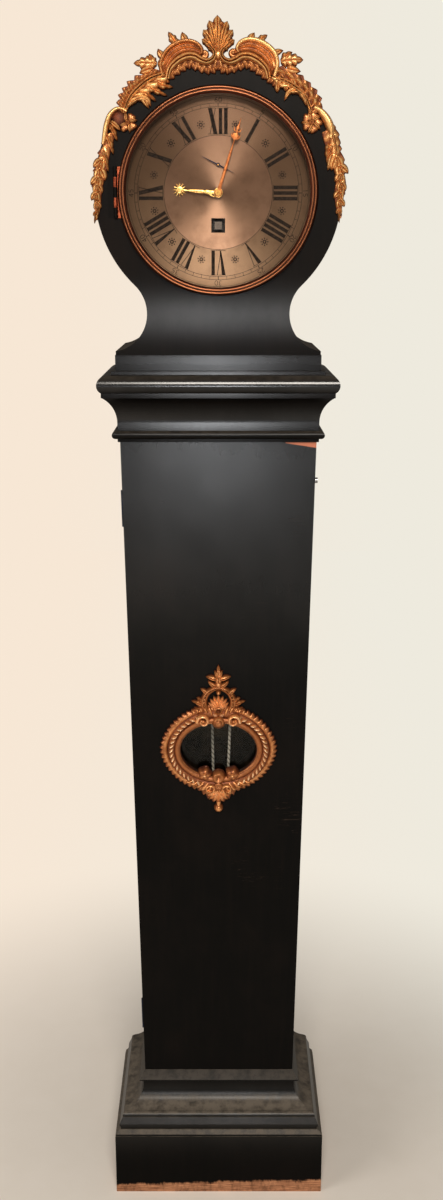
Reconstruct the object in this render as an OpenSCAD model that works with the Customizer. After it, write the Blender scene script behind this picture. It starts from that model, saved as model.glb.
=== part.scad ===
// Weight-driven regulator clock in an ebonised tapering case with gilt carving.
// Origin at the middle of the floor face, +Z up, dial facing -Y, millimetres.

/* [Plinth and base moulding] */
// Height of the plinth's upright face
plinth_h = 119; // [90:1:150]
// Thickness of the plinth's boards
plinth_t = 16; // [12:1:20]
// Thickness of the bottom board
bottom_t = 14; // [10:1:18]
// How far the plinth stands out from the foot of the trunk
base_out = 53; // [45:1:60]
// Height of the base moulding
base_moulding_h = 103; // [95:1:120]
// Upright height of each fillet of the base moulding
base_fillet_h = 4; // [3:0.5:5]
// Set-back of each fillet of the base moulding behind the one below
base_step = 6.5; // [5:0.5:8]
// Depth of the groove between the fillets
base_groove_d = 2; // [1:0.5:3]
// Radius of the hollow of the base moulding
base_cove_r = 33; // [29:1:35]
// How far the lip on top of the base moulding stands out
base_lip = 10; // [8:0.5:12]
// Fall of the sloping top of that lip
base_lip_fall = 15; // [12:1:18]

/* [Trunk] */
// Width of the trunk at its foot
trunk_bottom_w = 270; // [250:1:290]
// Width of the trunk at its top
trunk_top_w = 311; // [300:1:320]
// Depth of the trunk from its front face to the wall
trunk_d = 195; // [190:1:220]
// Height of the trunk between its two mouldings
trunk_h = 1155; // [1100:5:1250]
// Thickness of the trunk's side boards
side_t = 14; // [12:1:16]
// Thickness of the trunk door
door_t = 14; // [13:1:16]
// Thickness of the backboard
back_t = 12; // [9:1:15]
// Running gap round the trunk door
door_gap = 0.4; // [0.3:0.1:0.8]
// Length of each trunk door hinge
door_hinge_l = 60; // [45:1:80]
// Width of each leaf of a trunk door hinge
door_hinge_w = 11; // [9:1:12]
// Thickness of each leaf of a trunk door hinge
door_hinge_t = 1.5; // [1:0.25:2]
// Radius of the knuckles of the trunk door hinges
door_knuckle_r = 2.5; // [2.3:0.1:3]
// Distance of each trunk door hinge from the nearer end of the door
door_hinge_inset = 110; // [80:5:160]
// Radius of the hinge pins
hinge_pin_r = 1.2; // [1:0.1:1.4]

/* [Catch of the trunk door] */
// Depth of the catch below the top of the trunk
catch_drop = 66; // [50:1:90]
// Distance of the catch spindle behind the door's back face
catch_back = 12; // [10:1:14]
// Radius of the catch knob
catch_knob_r = 4.5; // [4:0.5:6]
// How far the catch knob stands out from the side board
catch_knob_out = 6; // [5:0.5:8]
// Radius of the catch spindle
catch_spindle_r = 2.5; // [2:0.1:3]
// Reach of the catch hook from its spindle
catch_reach = 17.5; // [16:0.5:18]

/* [Cornice] */
// Height of the cornice between the trunk and the hood
cornice_h = 111; // [108:1:120]
// Radius of the bead under the cornice
cornice_bead_r = 6.3; // [5:0.1:7]
// Radius of the hollow of the cornice
cornice_cove_r = 49; // [46:1:52]
// Radius of the big round of the cornice
cornice_torus_r = 14.5; // [12:0.5:15]
// How far the cornice stands out from the top of the trunk
cornice_out = 32.5; // [30:0.5:34]

/* [Hood] */
// Width of the hood's foot
hood_foot_w = 320; // [312:1:326]
// Height of the hood's foot rail
hood_foot_h = 24; // [20:1:28]
// How far the foot rail stands out from the hood's face
hood_foot_proud = 1.2; // [0.5:0.1:2]
// Radius of the hood's round head
hood_r = 185.5; // [180:0.5:190]
// Width of the hood at its waist
hood_waist_w = 219; // [216:1:226]
// Height of the upright edge under the flare of the hood's waist
hood_flare_edge = 5.5; // [4:0.5:8]
// How far the hood's face stands ahead of the trunk's face
hood_face_set = 4; // [3:0.5:6]
// Thickness of the hood's front board
hood_front_t = 12; // [10:0.5:12]
// Thickness of the hood's bent side
hood_band_t = 8; // [6:0.5:8.5]
// Radius of the hole in the hood's front board
hood_hole_r = 141; // [140:0.5:142]
// Running gap between the hood and the case
hood_gap = 0.4; // [0.3:0.1:0.8]
// Width of the open slot in the hood's floor
hood_slot_w = 200; // [196:1:206]

/* [Bezel] */
// Outer radius of the bezel
bezel_r = 150; // [148.5:0.5:151]
// Radius of the bezel's sight opening
bezel_sight_r = 137.5; // [136:0.5:138]
// Depth of the bezel from the hood's face to its front bead
bezel_d = 16; // [15:0.5:18]
// Thickness of the bezel's outer flange
bezel_flange_t = 4; // [3.5:0.5:5]
// Radius of each bead of the bezel
bezel_bead_r = 1.8; // [1.5:0.1:2]
// Thickness of the glasses
glass_t = 2; // [1.5:0.25:3]
// Length of the bezel's hinge
bezel_hinge_l = 73; // [60:1:80]
// Radius of the knuckles of the bezel's hinge
bezel_knuckle_r = 3; // [2.8:0.1:3]
// Distance of the bezel's hinge pin outside the bezel
bezel_hinge_out = 3.5; // [3.4:0.1:4]
// Thickness of the leaves of the bezel's hinge
bezel_leaf_t = 2; // [1.5:0.1:2]

/* [Dial] */
// Height of the dial's centre above the foot of the hood
dial_rise = 263.5; // [260:0.5:275]
// Radius of the dial
dial_r = 146; // [144:0.5:150]
// Thickness of the dial
dial_t = 2; // [1.5:0.25:3]
// Gap between the dial and the hood's front board
dial_gap = 1; // [0.5:0.1:1.5]
// Width of the square winding hole
winding_hole_w = 21; // [20:0.5:23]
// Radius of the dial's feet
dial_foot_r = 3; // [2.5:0.25:4]
// Distance of the dial's feet left and right of its centre
dial_foot_x = 50; // [46:1:54]
// Distance of the dial's feet above and below its centre
dial_foot_z = 80; // [76:1:82]

/* [Movement plates] */
// Width of the movement plates
plate_w = 126; // [122:1:140]
// Thickness of the movement plates
plate_t = 3; // [2.5:0.25:4]
// Distance between the movement plates
plate_gap = 47; // [46:0.5:50]
// Distance between the dial and the front plate
dial_to_plate = 22; // [21:0.5:24]
// Height of the plates above the pallet arbor
plate_over = 12; // [10:0.5:16]
// Radius of the pillars between the plates
pillar_r = 5; // [4:0.5:6]
// Distance of each pillar from the edges of the plate
pillar_inset = 9; // [8:0.5:10]
// Radius of the pillar screws
pillar_screw_r = 2; // [1.5:0.1:2.5]
// Radius of the movement's bolts through the seatboard
seat_bolt_r = 2.5; // [2:0.1:3]
// Running clearance of the pivots in their holes
pivot_gap = 0.05; // [0.03:0.01:0.1]
// Radius of the pivots of the fast arbors
pivot_r = 1.2; // [1:0.1:1.5]
// Radius of the fast arbors
arbor_r = 2.2; // [2:0.1:2.5]

/* [Train] */
// Teeth of the great wheel
great_teeth = 144; // [120:12:144]
// Leaves of the centre pinion
centre_leaves = 12; // [10:2:12]
// Tooth module of the great wheel and centre pinion
great_module = 0.6; // [0.6:0.01:0.62]
// Teeth of the centre wheel
centre_teeth = 96; // [80:8:96]
// Leaves of the third pinion
third_leaves = 12; // [10:2:12]
// Teeth of the third wheel
third_teeth = 90; // [75:15:90]
// Leaves of the escape pinion
escape_leaves = 12; // [10:2:12]
// Tooth module of the centre wheel, third wheel and their pinions
train_module = 0.5; // [0.5:0.01:0.52]
// Teeth of the escape wheel
escape_teeth = 30; // [30:1:30]
// Radius of the escape wheel
escape_r = 21; // [20:0.5:22]
// Height of the seconds arbor above the dial's centre
seconds_rise = 40; // [38:0.5:42]
// Height of the pallet arbor above the seconds arbor
pallet_rise = 46; // [45:0.5:48]
// Thickness of the thin wheels
wheel_t = 2; // [1.5:0.25:2.5]
// Thickness of the great wheel
great_wheel_t = 3; // [2.5:0.25:3.5]
// Leaves of the cannon pinion
cannon_leaves = 10; // [10:1:10]
// Teeth of the minute wheel
minute_wheel_teeth = 30; // [30:1:30]
// Leaves of the minute pinion
minute_leaves = 8; // [8:1:8]
// Teeth of the hour wheel
hour_teeth = 32; // [32:1:32]
// Tooth module of the motion work
motion_module = 0.9; // [0.85:0.01:0.95]

/* [Barrel and winding square] */
// Radius of the barrel that the line winds on
barrel_r = 25; // [22:0.5:26]
// Radius of the barrel's flanges
barrel_flange_r = 29.5; // [28:0.5:31]
// Width of the winding square
winding_square_w = 12; // [10:0.5:13]
// Radius of the barrel arbor's front journal
barrel_journal_r = 9; // [8.8:0.1:10]
// Radius of the ratchet wheel
ratchet_r = 17; // [15:0.5:19]
// Teeth of the ratchet wheel
ratchet_teeth = 36; // [30:2:40]

/* [Hands] */
// Length of the minute hand
minute_hand_l = 110; // [100:1:114]
// Distance of the hour hand's sunburst from the centre
hour_hand_l = 58; // [50:0.5:60]
// Radius of the hour hand's sunburst
sunburst_r = 9.5; // [8:0.5:11]
// Reach of each arm of the seconds hand
seconds_hand_l = 26; // [22:0.5:28]
// Thickness of the hands
hand_t = 1.2; // [0.8:0.1:1.5]
// Reading of the hour hand, in degrees clockwise from twelve
hour_angle = 274; // [0:1:359]
// Reading of the minute hand, in degrees clockwise from twelve
minute_angle = 18; // [0:1:359]
// Reading of the seconds hand, in degrees clockwise from twelve
seconds_angle = 296; // [0:1:359]

/* [Pendulum] */
// Length from the bending point of the suspension to the middle of the bob
pendulum_l = 994; // [985:1:1000]
// Radius of the pendulum rod
rod_r = 3; // [2.5:0.25:4]
// Distance of the pendulum rod behind the back plate
rod_back = 13; // [12:0.5:16]
// Radius of the bob
bob_r = 65; // [55:1:75]
// Thickness of the bob
bob_t = 30; // [24:1:31]
// Radius of the rating nut
nut_r = 10; // [8:0.5:13]
// Height of the rating nut
nut_h = 12; // [9:0.5:16]
// Length of the crutch below the pallet arbor
crutch_l = 80; // [70:1:95]

/* [Weight and line] */
// Radius of the gut line
line_r = 1.4; // [1.2:0.1:1.6]
// Radius of the pulley at the middle of the line
pulley_line_r = 20; // [18:0.5:22]
// Turn of the pulley away from facing the front, in degrees
pulley_twist = 54.5; // [50:0.5:60]
// Depth of the pulley's axle below the dial's centre
pulley_drop = 1006; // [980:1:1060]
// Distance of the pulley right of the middle
pulley_x = 2.8; // [0:0.2:4]
// Distance of the fixed end of the line right of the middle
line_anchor_x = 48; // [44:0.5:49]
// Radius of the weight
weight_r = 30; // [26:0.5:31]
// Length of the weight
weight_l = 150; // [120:1:160]

/* [Seatboard] */
// Height of the seatboard's top above the foot of the hood
seat_rise = 164; // [162:1:166]
// Thickness of the seatboard
seat_t = 18; // [15:1:20]
// Width of the seatboard
seat_w = 188; // [184:1:194]
// Thickness of the cheeks under the seatboard
cheek_t = 14; // [12:1:18]
// Height of the cheeks
cheek_h = 234; // [200:1:245]

/* [Lenticle] */
// Height of the lenticle's middle above the foot of the trunk
lenticle_rise = 632.5; // [600:0.5:660]
// Half the width of the lenticle's opening
lenticle_a = 66; // [60:0.5:70]
// Half the height of the lenticle's opening
lenticle_b = 50.5; // [47:0.5:54]
// Radius of the round ends of the lenticle's opening
lenticle_end_r = 40; // [37:0.5:43]
// Width of the carved ring round the lenticle
lenticle_ring_w = 30.5; // [27:0.5:33]
// Relief of the carved ring
lenticle_relief = 18; // [12:0.5:20]
// Height of the carved crest above the lenticle's middle
lenticle_crest_h = 151; // [140:1:160]
// Length of the bud at the top of the lenticle's crest
lenticle_bud_h = 31; // [28:1:33]
// Depth of the carved pendant below the lenticle's middle
lenticle_pendant_h = 115; // [108:1:122]
// Seat of the lenticle's glass in the door
lenticle_rebate = 5; // [4:0.5:6]

/* [Carving of the hood] */
// Height of the crest above the dial's centre
crest_h = 243; // [238:1:248]
// Length of the crest's middle petal
crest_petal_h = 52.5; // [50:0.5:54]
// Thickness of the carving
carving_t = 16; // [12:1:18]
// Radius from the dial's centre of the middle of the acanthus leaves
acanthus_mid_r = 183; // [181:0.5:186]
// Width of the acanthus leaves
acanthus_w = 34; // [30:1:38]
// Radius of the rosettes
rosette_r = 14; // [12:0.5:15]
// Radius from the dial's centre of the middle of the first husk
husk_mid_r = 181; // [180.5:0.5:183]
// Radius of the largest husk
husk_r = 11; // [9:0.5:11]

/* [Hidden] */
$fn = 96;

// Depths, from the front of the plinth to the wall
back_y = (trunk_d + base_out) / 2;
plinth_front_y = -back_y;
trunk_front_y = back_y - trunk_d;
board_y = back_y - back_t;
door_back_y = trunk_front_y + door_t;
side_front_y = door_back_y + door_gap;
hood_face_y = trunk_front_y - hood_face_set;
hood_back_y = hood_face_y + hood_front_t;
dial_front_y = hood_back_y + dial_gap;
dial_back_y = dial_front_y + dial_t;
plate_front_y = dial_back_y + dial_to_plate;
plates_in_y = plate_front_y + plate_t;
plates_out_y = plates_in_y + plate_gap;
plate_back_y = plates_out_y + plate_t;
rod_y = plate_back_y + rod_back;

// Heights, from the floor to the crest
trunk_z = plinth_h + base_moulding_h;
trunk_top_z = trunk_z + trunk_h;
foot_z = trunk_top_z + cornice_h;
foot_top_z = foot_z + hood_foot_h;
dial_z = foot_z + dial_rise;
seat_top_z = foot_z + seat_rise;
cheek_top_z = seat_top_z - seat_t;
great_z = dial_z - great_module * (great_teeth + centre_leaves) / 2;
seconds_z = dial_z + seconds_rise;
pallet_z = seconds_z + pallet_rise;
plate_top_z = pallet_z + plate_over;
bob_z = pallet_z - pendulum_l;
lenticle_z = trunk_z + lenticle_rise;
catch_z = trunk_top_z - catch_drop;
pulley_z = dial_z - pulley_drop;

// Widths that follow from the case
plinth_half = trunk_bottom_w / 2 + base_out;
taper = (trunk_top_w - trunk_bottom_w) / 2 / trunk_h;
taper_angle = atan(taper);
foot_half = hood_foot_w / 2;
flare_half = foot_half - hood_foot_proud;
function trunk_half(z) = trunk_bottom_w / 2 + (z - trunk_z) * taper;

// Arc of the hood's waist, tangent to the round head and to the flare's edge
neck_drop = dial_z - foot_top_z - hood_flare_edge;
neck_b = 2 * neck_drop + 2 * hood_r - hood_waist_w;
neck_c = pow(hood_waist_w / 2, 2) + pow(neck_drop, 2) - pow(hood_r, 2);
neck_r = (neck_b - sqrt(neck_b * neck_b - 4 * neck_c)) / 2;
neck_x = hood_waist_w / 2 + neck_r;
neck_z = foot_top_z + hood_flare_edge + neck_r;
neck_tangent = atan2(neck_x, dial_z - neck_z);

// Small clearances and overlaps
fit_gap = 0.05;
cut_over = 1;
side_gap = 0.3;

// Wood, metal and other colours
ebony = [0.07, 0.065, 0.07];
gilt = [0.78, 0.53, 0.24];
brass_colour = [0.80, 0.63, 0.32];
copper_colour = [0.66, 0.36, 0.22];
steel_colour = [0.55, 0.56, 0.60];
blued_colour = [0.10, 0.11, 0.18];
dial_colour = [0.62, 0.55, 0.50];
glass_colour = [0.75, 0.85, 0.88, 0.3];
gut_colour = [0.75, 0.72, 0.66];
raw_wood = [0.45, 0.27, 0.17];

// A flat outline in X and Z carried from depth y0 to depth y1
module slab(y0, y1) {
    translate([0, y1, 0]) rotate([90, 0, 0]) linear_extrude(y1 - y0) children();
}

// A round bar along Y
module rod(r, y0, y1, x = 0, z = 0) {
    translate([x, y1, z]) rotate([90, 0, 0]) cylinder(r = r, h = y1 - y0);
}

// Half of a four-sided moulded frame: front length and two sides, mitred, open at the back
module moulded_frame(half_w, front_y, inner, outer, z, h) {
    module clip(points) {
        translate([0, 0, z - cut_over]) linear_extrude(h + 2 * cut_over) polygon(points);
    }
    module side_run() {
        intersection() {
            translate([half_w, back_y, z]) rotate([90, 0, 0])
                linear_extrude(back_y - front_y + outer + cut_over) children();
            clip([[half_w + outer + cut_over, front_y - outer - cut_over], [half_w + outer + cut_over, back_y],
                [half_w - inner, back_y], [half_w - inner, front_y + inner]]);
        }
    }
    intersection() {
        translate([-half_w - outer - cut_over, front_y, z]) rotate([90, 0, 90])
            linear_extrude(2 * (half_w + outer + cut_over)) mirror([1, 0]) children();
        clip([[-half_w - outer - cut_over, front_y - outer - cut_over],
            [half_w + outer + cut_over, front_y - outer - cut_over],
            [half_w - inner, front_y + inner], [-half_w + inner, front_y + inner]]);
    }
    side_run() children();
    mirror([1, 0, 0]) side_run() children();
}

// Section of the base moulding: two weathered fillets, a round, a hollow and a lip
module base_profile() {
    edge = base_out - 1;
    slope = 5.5;
    groove_top = base_fillet_h + slope + 7;
    slope_top = groove_top + base_fillet_h + 2 * slope;
    round_r = 6.5;
    round_z = slope_top + 1.5;
    wall = 3;
    cove_z = base_moulding_h - base_lip_fall - 15;
    outer = edge - 2 * base_step + 1;
    difference() {
        polygon([[-side_t, 0], [edge, 0], [edge, base_fillet_h], [edge - base_step, base_fillet_h + slope],
            [edge - base_step - base_groove_d, base_fillet_h + slope],
            [edge - base_step - base_groove_d, groove_top], [edge - base_step, groove_top],
            [edge - base_step, groove_top + base_fillet_h], [outer, slope_top],
            [outer - base_groove_d, slope_top], [outer - base_groove_d, round_z], [outer, round_z],
            [outer, cove_z], [wall, cove_z], [wall, cove_z + 7.5], [base_lip, cove_z + 13],
            [base_lip, cove_z + 15], [0, base_moulding_h], [-side_t, base_moulding_h]]);
        intersection() {
            translate([wall + base_cove_r, cove_z]) circle(r = base_cove_r);
            translate([0, cove_z - 2 * base_cove_r]) square([3 * base_cove_r, 2 * base_cove_r]);
        }
        translate([outer - round_r, round_z]) difference() {
            square(3 * base_cove_r);
            circle(r = round_r);
        }
    }
}

// Section of the cornice: bead, fascia, hollow, fillet, big round and a flat top with a low step
module cornice_profile() {
    fascia = 3.5;
    torus_x = cornice_out - cornice_torus_r;
    torus_z = cornice_h - 20.5;
    shelf_z = torus_z + cornice_torus_r - 1;
    step_x = 11;
    fillet_x = cornice_out - 6.3;
    fillet_z = torus_z - cornice_torus_r - 4.8;
    cove_x = fascia + cornice_cove_r;
    cove_z = fillet_z - sqrt(pow(cornice_cove_r, 2) - pow(cove_x - fillet_x + 1.2, 2));
    difference() {
        polygon([[-side_t, 0], [fascia, 0], [fascia, cove_z], [fillet_x, cove_z], [fillet_x, torus_z],
            [torus_x, torus_z], [torus_x, shelf_z], [step_x, shelf_z], [step_x, cornice_h],
            [-side_t, cornice_h]]);
        translate([cove_x, cove_z]) intersection() {
            circle(r = cornice_cove_r);
            translate([-cornice_cove_r, 0]) square([2 * cornice_cove_r, fillet_z - cove_z]);
        }
    }
    translate([fascia + 2.2, 11.5]) circle(r = cornice_bead_r);
    translate([torus_x, torus_z]) circle(r = cornice_torus_r);
}

// Outline of the hood above its foot, drawn in from the real outline by inset
module hood_outline(inset = 0) {
    block_top = dial_z - (hood_r - inset) * cos(neck_tangent);
    translate([0, dial_z]) circle(r = hood_r - inset);
    difference() {
        translate([-flare_half + inset, foot_top_z + inset])
            square([2 * (flare_half - inset), block_top - foot_top_z - inset]);
        for (side = [-1, 1])
            translate([side * neck_x, neck_z]) circle(r = neck_r + inset);
    }
}

// Oval of four arcs, the lenticle's opening let out by grow
module oval(grow = 0) {
    end_x = lenticle_a - lenticle_end_r;
    tangent_r = (pow(lenticle_b, 2) + pow(end_x, 2) - pow(lenticle_end_r, 2)) / (2 * (lenticle_b - lenticle_end_r));
    side_r = tangent_r * 0.96;
    drop = side_r - lenticle_b;
    for (side = [-1, 1])
        translate([side * end_x, 0]) circle(r = lenticle_end_r + grow);
    intersection() {
        translate([0, -drop]) circle(r = side_r + grow);
        translate([0, drop]) circle(r = side_r + grow);
    }
}

// Knuckles of a hinge along Z: the share'th of every two, from the bottom
module knuckles(r, length, count, share, gap) {
    step = length / count;
    for (k = [share:2:count - 1])
        translate([0, 0, -length / 2 + k * step + gap / 2]) cylinder(r = r, h = step - gap);
}

// Case, fixed

module bottom_board() {
    color(raw_wood)
        translate([-plinth_half + plinth_t, plinth_front_y + plinth_t, 0])
            cube([2 * (plinth_half - plinth_t), board_y - plinth_front_y - plinth_t, bottom_t]);
}

module plinth() {
    color(ebony)
        moulded_frame(plinth_half, plinth_front_y, plinth_t, 0, 0, plinth_h)
            translate([-plinth_t, 0]) square([plinth_t, plinth_h]);
}

module base_moulding() {
    color(ebony)
        moulded_frame(trunk_bottom_w / 2, trunk_front_y, side_t, base_out, plinth_h, base_moulding_h)
            base_profile();
}

wall_hole_r = 3;
wall_hole_x = 60;
wall_hole_z = 40;

module backboard() {
    low_half = plinth_half - plinth_t;
    trunk_low = trunk_bottom_w / 2 - side_t;
    trunk_high = trunk_top_w / 2 - side_t;
    hood_in = hood_band_t + hood_gap;
    neck_half = hood_slot_w / 2 - hood_gap;
    color(raw_wood) difference() {
        union() {
            slab(board_y, back_y) polygon([[-low_half, 0], [low_half, 0], [low_half, plinth_h],
                [trunk_low, plinth_h], [trunk_low, trunk_z], [trunk_high, trunk_top_z], [trunk_high, foot_z],
                [neck_half, foot_z], [neck_half, foot_top_z + hood_in + 1], [-neck_half, foot_top_z + hood_in + 1],
                [-neck_half, foot_z], [-trunk_high, foot_z], [-trunk_high, trunk_top_z], [-trunk_low, trunk_z],
                [-trunk_low, plinth_h], [-low_half, plinth_h]]);
            slab(board_y, back_y) hood_outline(hood_in);
        }
        for (side = [-1, 1])
            rod(wall_hole_r, board_y - cut_over, back_y + cut_over, side * wall_hole_x, foot_z - wall_hole_z);
    }
}

// Places of the two trunk door hinges, along the slanting left edge
hinge_z = [trunk_z + door_hinge_inset, trunk_top_z - door_hinge_inset];
hinge_out = 0.8;
hinge_axis_y = door_back_y + door_gap / 2;
module at_door_hinges() {
    for (z = hinge_z)
        translate([-trunk_half(z) - hinge_out, hinge_axis_y, z]) rotate([0, -taper_angle, 0]) children();
}

// Space that a hinge takes out of the wood: its knuckle and its leaf on one side of the joint
module door_hinge_cut(front) {
    at_door_hinges() {
        cylinder(r = door_knuckle_r + side_gap, h = door_hinge_l + 2 * side_gap, center = true);
        translate([0, front ? -door_gap / 2 - door_hinge_t : door_gap / 2, -door_hinge_l / 2])
            cube([hinge_out + door_hinge_w, door_hinge_t, door_hinge_l]);
    }
}

module trunk_side_blank() {
    color(ebony) slab(side_front_y, back_y)
        polygon([[trunk_half(trunk_z) - side_t, trunk_z], [trunk_half(trunk_z), trunk_z],
            [trunk_half(trunk_top_z), trunk_top_z], [trunk_half(trunk_top_z) - side_t, trunk_top_z]]);
}

module trunk_side_left() {
    difference() {
        mirror([1, 0, 0]) trunk_side_blank();
        door_hinge_cut(false);
    }
}

catch_y = door_back_y + catch_back;
catch_inner_x = trunk_half(catch_z) - side_t - 1;

module trunk_side_right() {
    difference() {
        trunk_side_blank();
        translate([catch_inner_x - side_t, catch_y, catch_z]) rotate([0, 90, 0])
            cylinder(r = catch_spindle_r + fit_gap, h = 3 * side_t);
    }
}

module cornice() {
    color(ebony)
        moulded_frame(trunk_top_w / 2, trunk_front_y, side_t, cornice_out, trunk_top_z, cornice_h)
            cornice_profile();
}

// Front of the seatboard and its cheeks, just behind the dial's feet
seat_front_y = plate_front_y - 2;
seat_back_y = plate_back_y + 3;

module cheek() {
    bottom_z = cheek_top_z - cheek_h;
    color(raw_wood) translate([seat_w / 2 - cheek_t, 0, 0]) rotate([90, 0, 90]) linear_extrude(cheek_t)
        polygon([[board_y, bottom_z], [board_y, cheek_top_z], [seat_front_y, cheek_top_z],
            [seat_front_y, cheek_top_z - 40], [board_y - 30, bottom_z]]);
}

module cheek_left() {
    mirror([1, 0, 0]) cheek();
}

module cheek_right() {
    cheek();
}

// Where the line leaves the barrel and where its other end is tied
coil_turns = 7;
first_coil_y = plates_in_y + 10.6;
line_top = [-barrel_r - line_r - side_gap, first_coil_y + coil_turns * 2 * line_r + side_gap, great_z];
line_tie = [line_anchor_x, plates_in_y + 5, seat_top_z];

module seatboard() {
    color(raw_wood) difference() {
        translate([-seat_w / 2, seat_front_y, cheek_top_z])
            cube([seat_w, seat_back_y - seat_front_y, seat_t]);
        translate([line_top[0] - 6, plates_in_y + 4, cheek_top_z - cut_over])
            cube([14, plate_gap - 10, seat_t + 2 * cut_over]);
        translate([line_tie[0], line_tie[1], cheek_top_z - cut_over])
            cylinder(r = line_r + 1.6, h = seat_t + 2 * cut_over);
        for (side = [-1, 1])
            translate([side * (plate_w / 2 - pillar_inset), (plates_in_y + plates_out_y) / 2, cheek_top_z - cut_over])
                cylinder(r = seat_bolt_r + fit_gap, h = seat_t + 2 * cut_over);
    }
}

module trunk_hinge_leaves() {
    color(blued_colour) at_door_hinges() {
        difference() {
            union() {
                knuckles(door_knuckle_r, door_hinge_l, 3, 0, side_gap);
                translate([0, door_gap / 2, -door_hinge_l / 2])
                    cube([hinge_out + door_hinge_w, door_hinge_t, door_hinge_l]);
            }
            cylinder(r = door_knuckle_r + side_gap, h = door_hinge_l / 3 + side_gap, center = true);
            cylinder(r = hinge_pin_r, h = 2 * door_hinge_l, center = true);
        }
        cylinder(r = hinge_pin_r, h = door_hinge_l - side_gap, center = true);
    }
}

// Trunk door and what it carries

module trunk_door() {
    z0 = trunk_z + door_gap;
    z1 = trunk_top_z - door_gap;
    mortise_x = catch_inner_x - 8;
    color(ebony) difference() {
        slab(trunk_front_y, door_back_y) difference() {
            polygon([[-trunk_half(z0), z0], [trunk_half(z0), z0], [trunk_half(z1), z1], [-trunk_half(z1), z1]]);
            translate([0, lenticle_z]) oval();
        }
        slab(trunk_front_y + door_t / 2, door_back_y + cut_over)
            translate([0, lenticle_z]) oval(lenticle_rebate);
        door_hinge_cut(true);
        translate([mortise_x, door_back_y - 8, catch_z - 15]) cube([8, 5, 24]);
        translate([mortise_x, door_back_y - 4, catch_z - 15]) cube([8, 4 + cut_over, 17]);
    }
}

module door_hinge_leaves() {
    color(blued_colour) at_door_hinges() difference() {
        union() {
            knuckles(door_knuckle_r, door_hinge_l, 3, 1, side_gap);
            translate([0, -door_gap / 2 - door_hinge_t, -door_hinge_l / 2])
                cube([hinge_out + door_hinge_w, door_hinge_t, door_hinge_l]);
        }
        for (side = [-1, 1])
            translate([0, 0, side * door_hinge_l / 3])
                cylinder(r = door_knuckle_r + side_gap, h = door_hinge_l / 3 + side_gap, center = true);
        cylinder(r = hinge_pin_r + fit_gap, h = 2 * door_hinge_l, center = true);
    }
}

// A lobe of carving from y0 to y1: a wedge from near [x, z] that ends round, turned clockwise about there
module petal(length, r, y0, y1, turn, x, z) {
    ahead = [sin(turn), cos(turn)];
    aside = [cos(turn), -sin(turn)];
    foot = [x, z] + ahead * length / 8;
    end = [x, z] + ahead * (length - r);
    rod(r, y0, y1, end[0], end[1]);
    slab(y0, y1)
        polygon([end - aside * 0.9 * r, end + aside * 0.9 * r, foot + aside * 0.3 * r, foot - aside * 0.3 * r]);
}

// Carved giltwood frame: ring, shell and fleuron above, pendant below
module lenticle_frame() {
    back = trunk_front_y;
    front = trunk_front_y - lenticle_relief;
    low = front + 5;
    teeth = 36;
    ring_top = lenticle_b + lenticle_ring_w;
    tooth_a = lenticle_a + lenticle_ring_w - 3.5;
    tooth_b = ring_top - 3.5;
    bud_z = lenticle_crest_h - lenticle_bud_h;
    ball_z = -lenticle_pendant_h + 7.5;
    apron_z = -ring_top + 8;
    color(gilt) translate([0, 0, lenticle_z]) {
        slab(front, back) difference() {
            oval(lenticle_ring_w - 4);
            oval();
        }
        for (k = [0:teeth - 1])
            rod(4, low, back, tooth_a * cos(k * 360 / teeth), tooth_b * sin(k * 360 / teeth));
        for (turn = [-66:22:66])
            petal(44, 7, low, back, turn, 0, ring_top - 19);
        slab(low, back) translate([-5.5, ring_top + 10]) square([11, bud_z - ring_top + 10]);
        for (side = [-1, 1]) {
            petal(27, 5, low, back, side * 40, side * 6, ring_top + 11);
            petal(24, 4.5, low, back, side * 58, 0, bud_z - 3);
            rod(8, front - 1, back, side * 24, lenticle_b);
            rod(10, front - 1, back, side * 23, -lenticle_b + 4);
        }
        petal(lenticle_bud_h, 6, low, back, 0, 0, bud_z);
        rod(9, front - 1, back, 0, lenticle_b);
        rod(9.5, front - 1, back, 0, -lenticle_b - 2);
        slab(front + 3, back) polygon([[-38, apron_z], [38, apron_z], [30, apron_z - 9], [16, apron_z - 18],
            [6, apron_z - 26], [6, ball_z + 4], [-6, ball_z + 4], [-6, apron_z - 26], [-16, apron_z - 18],
            [-30, apron_z - 9]]);
        rod(7.5, front + 3, back, 0, ball_z);
    }
}

module lenticle_glass() {
    front = trunk_front_y + door_t / 2;
    color(glass_colour) slab(front, front + glass_t)
        translate([0, lenticle_z]) oval(lenticle_rebate - side_gap);
}

// Knob, spindle and hook, stored with the hook turned down clear of the door
module catch_knob() {
    outer_x = trunk_half(catch_z);
    arm_x = catch_inner_x - 3.5;
    color(steel_colour) translate([arm_x, catch_y, catch_z]) {
        rotate([0, 90, 0]) cylinder(r = catch_spindle_r, h = outer_x + 2 - arm_x);
        rotate([0, 90, 0]) cylinder(r = 4.5, h = 3);
        translate([outer_x + 1 - arm_x, 0, 0]) rotate([0, 90, 0]) cylinder(r = catch_knob_r, h = catch_knob_out - 1);
        rotate([90, 0, 0]) {
            translate([0, -catch_reach, -3]) cube([3, catch_reach, 3.2]);
            translate([0, -catch_reach, -3]) cube([3, 2.2, 8.5]);
        }
    }
}

// Hood, which slides forward off the case

module hood_front() {
    color(ebony) difference() {
        slab(hood_face_y, hood_back_y) difference() {
            hood_outline();
            translate([0, dial_z]) circle(r = hood_hole_r);
        }
        at_bezel_hinge() bezel_plate_shape();
    }
}

module hood_band() {
    color(ebony) slab(hood_back_y, back_y) difference() {
        hood_outline();
        hood_outline(hood_band_t);
        translate([-hood_slot_w / 2, foot_top_z - cut_over]) square([hood_slot_w, hood_band_t + 2 * cut_over]);
    }
}

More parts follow.
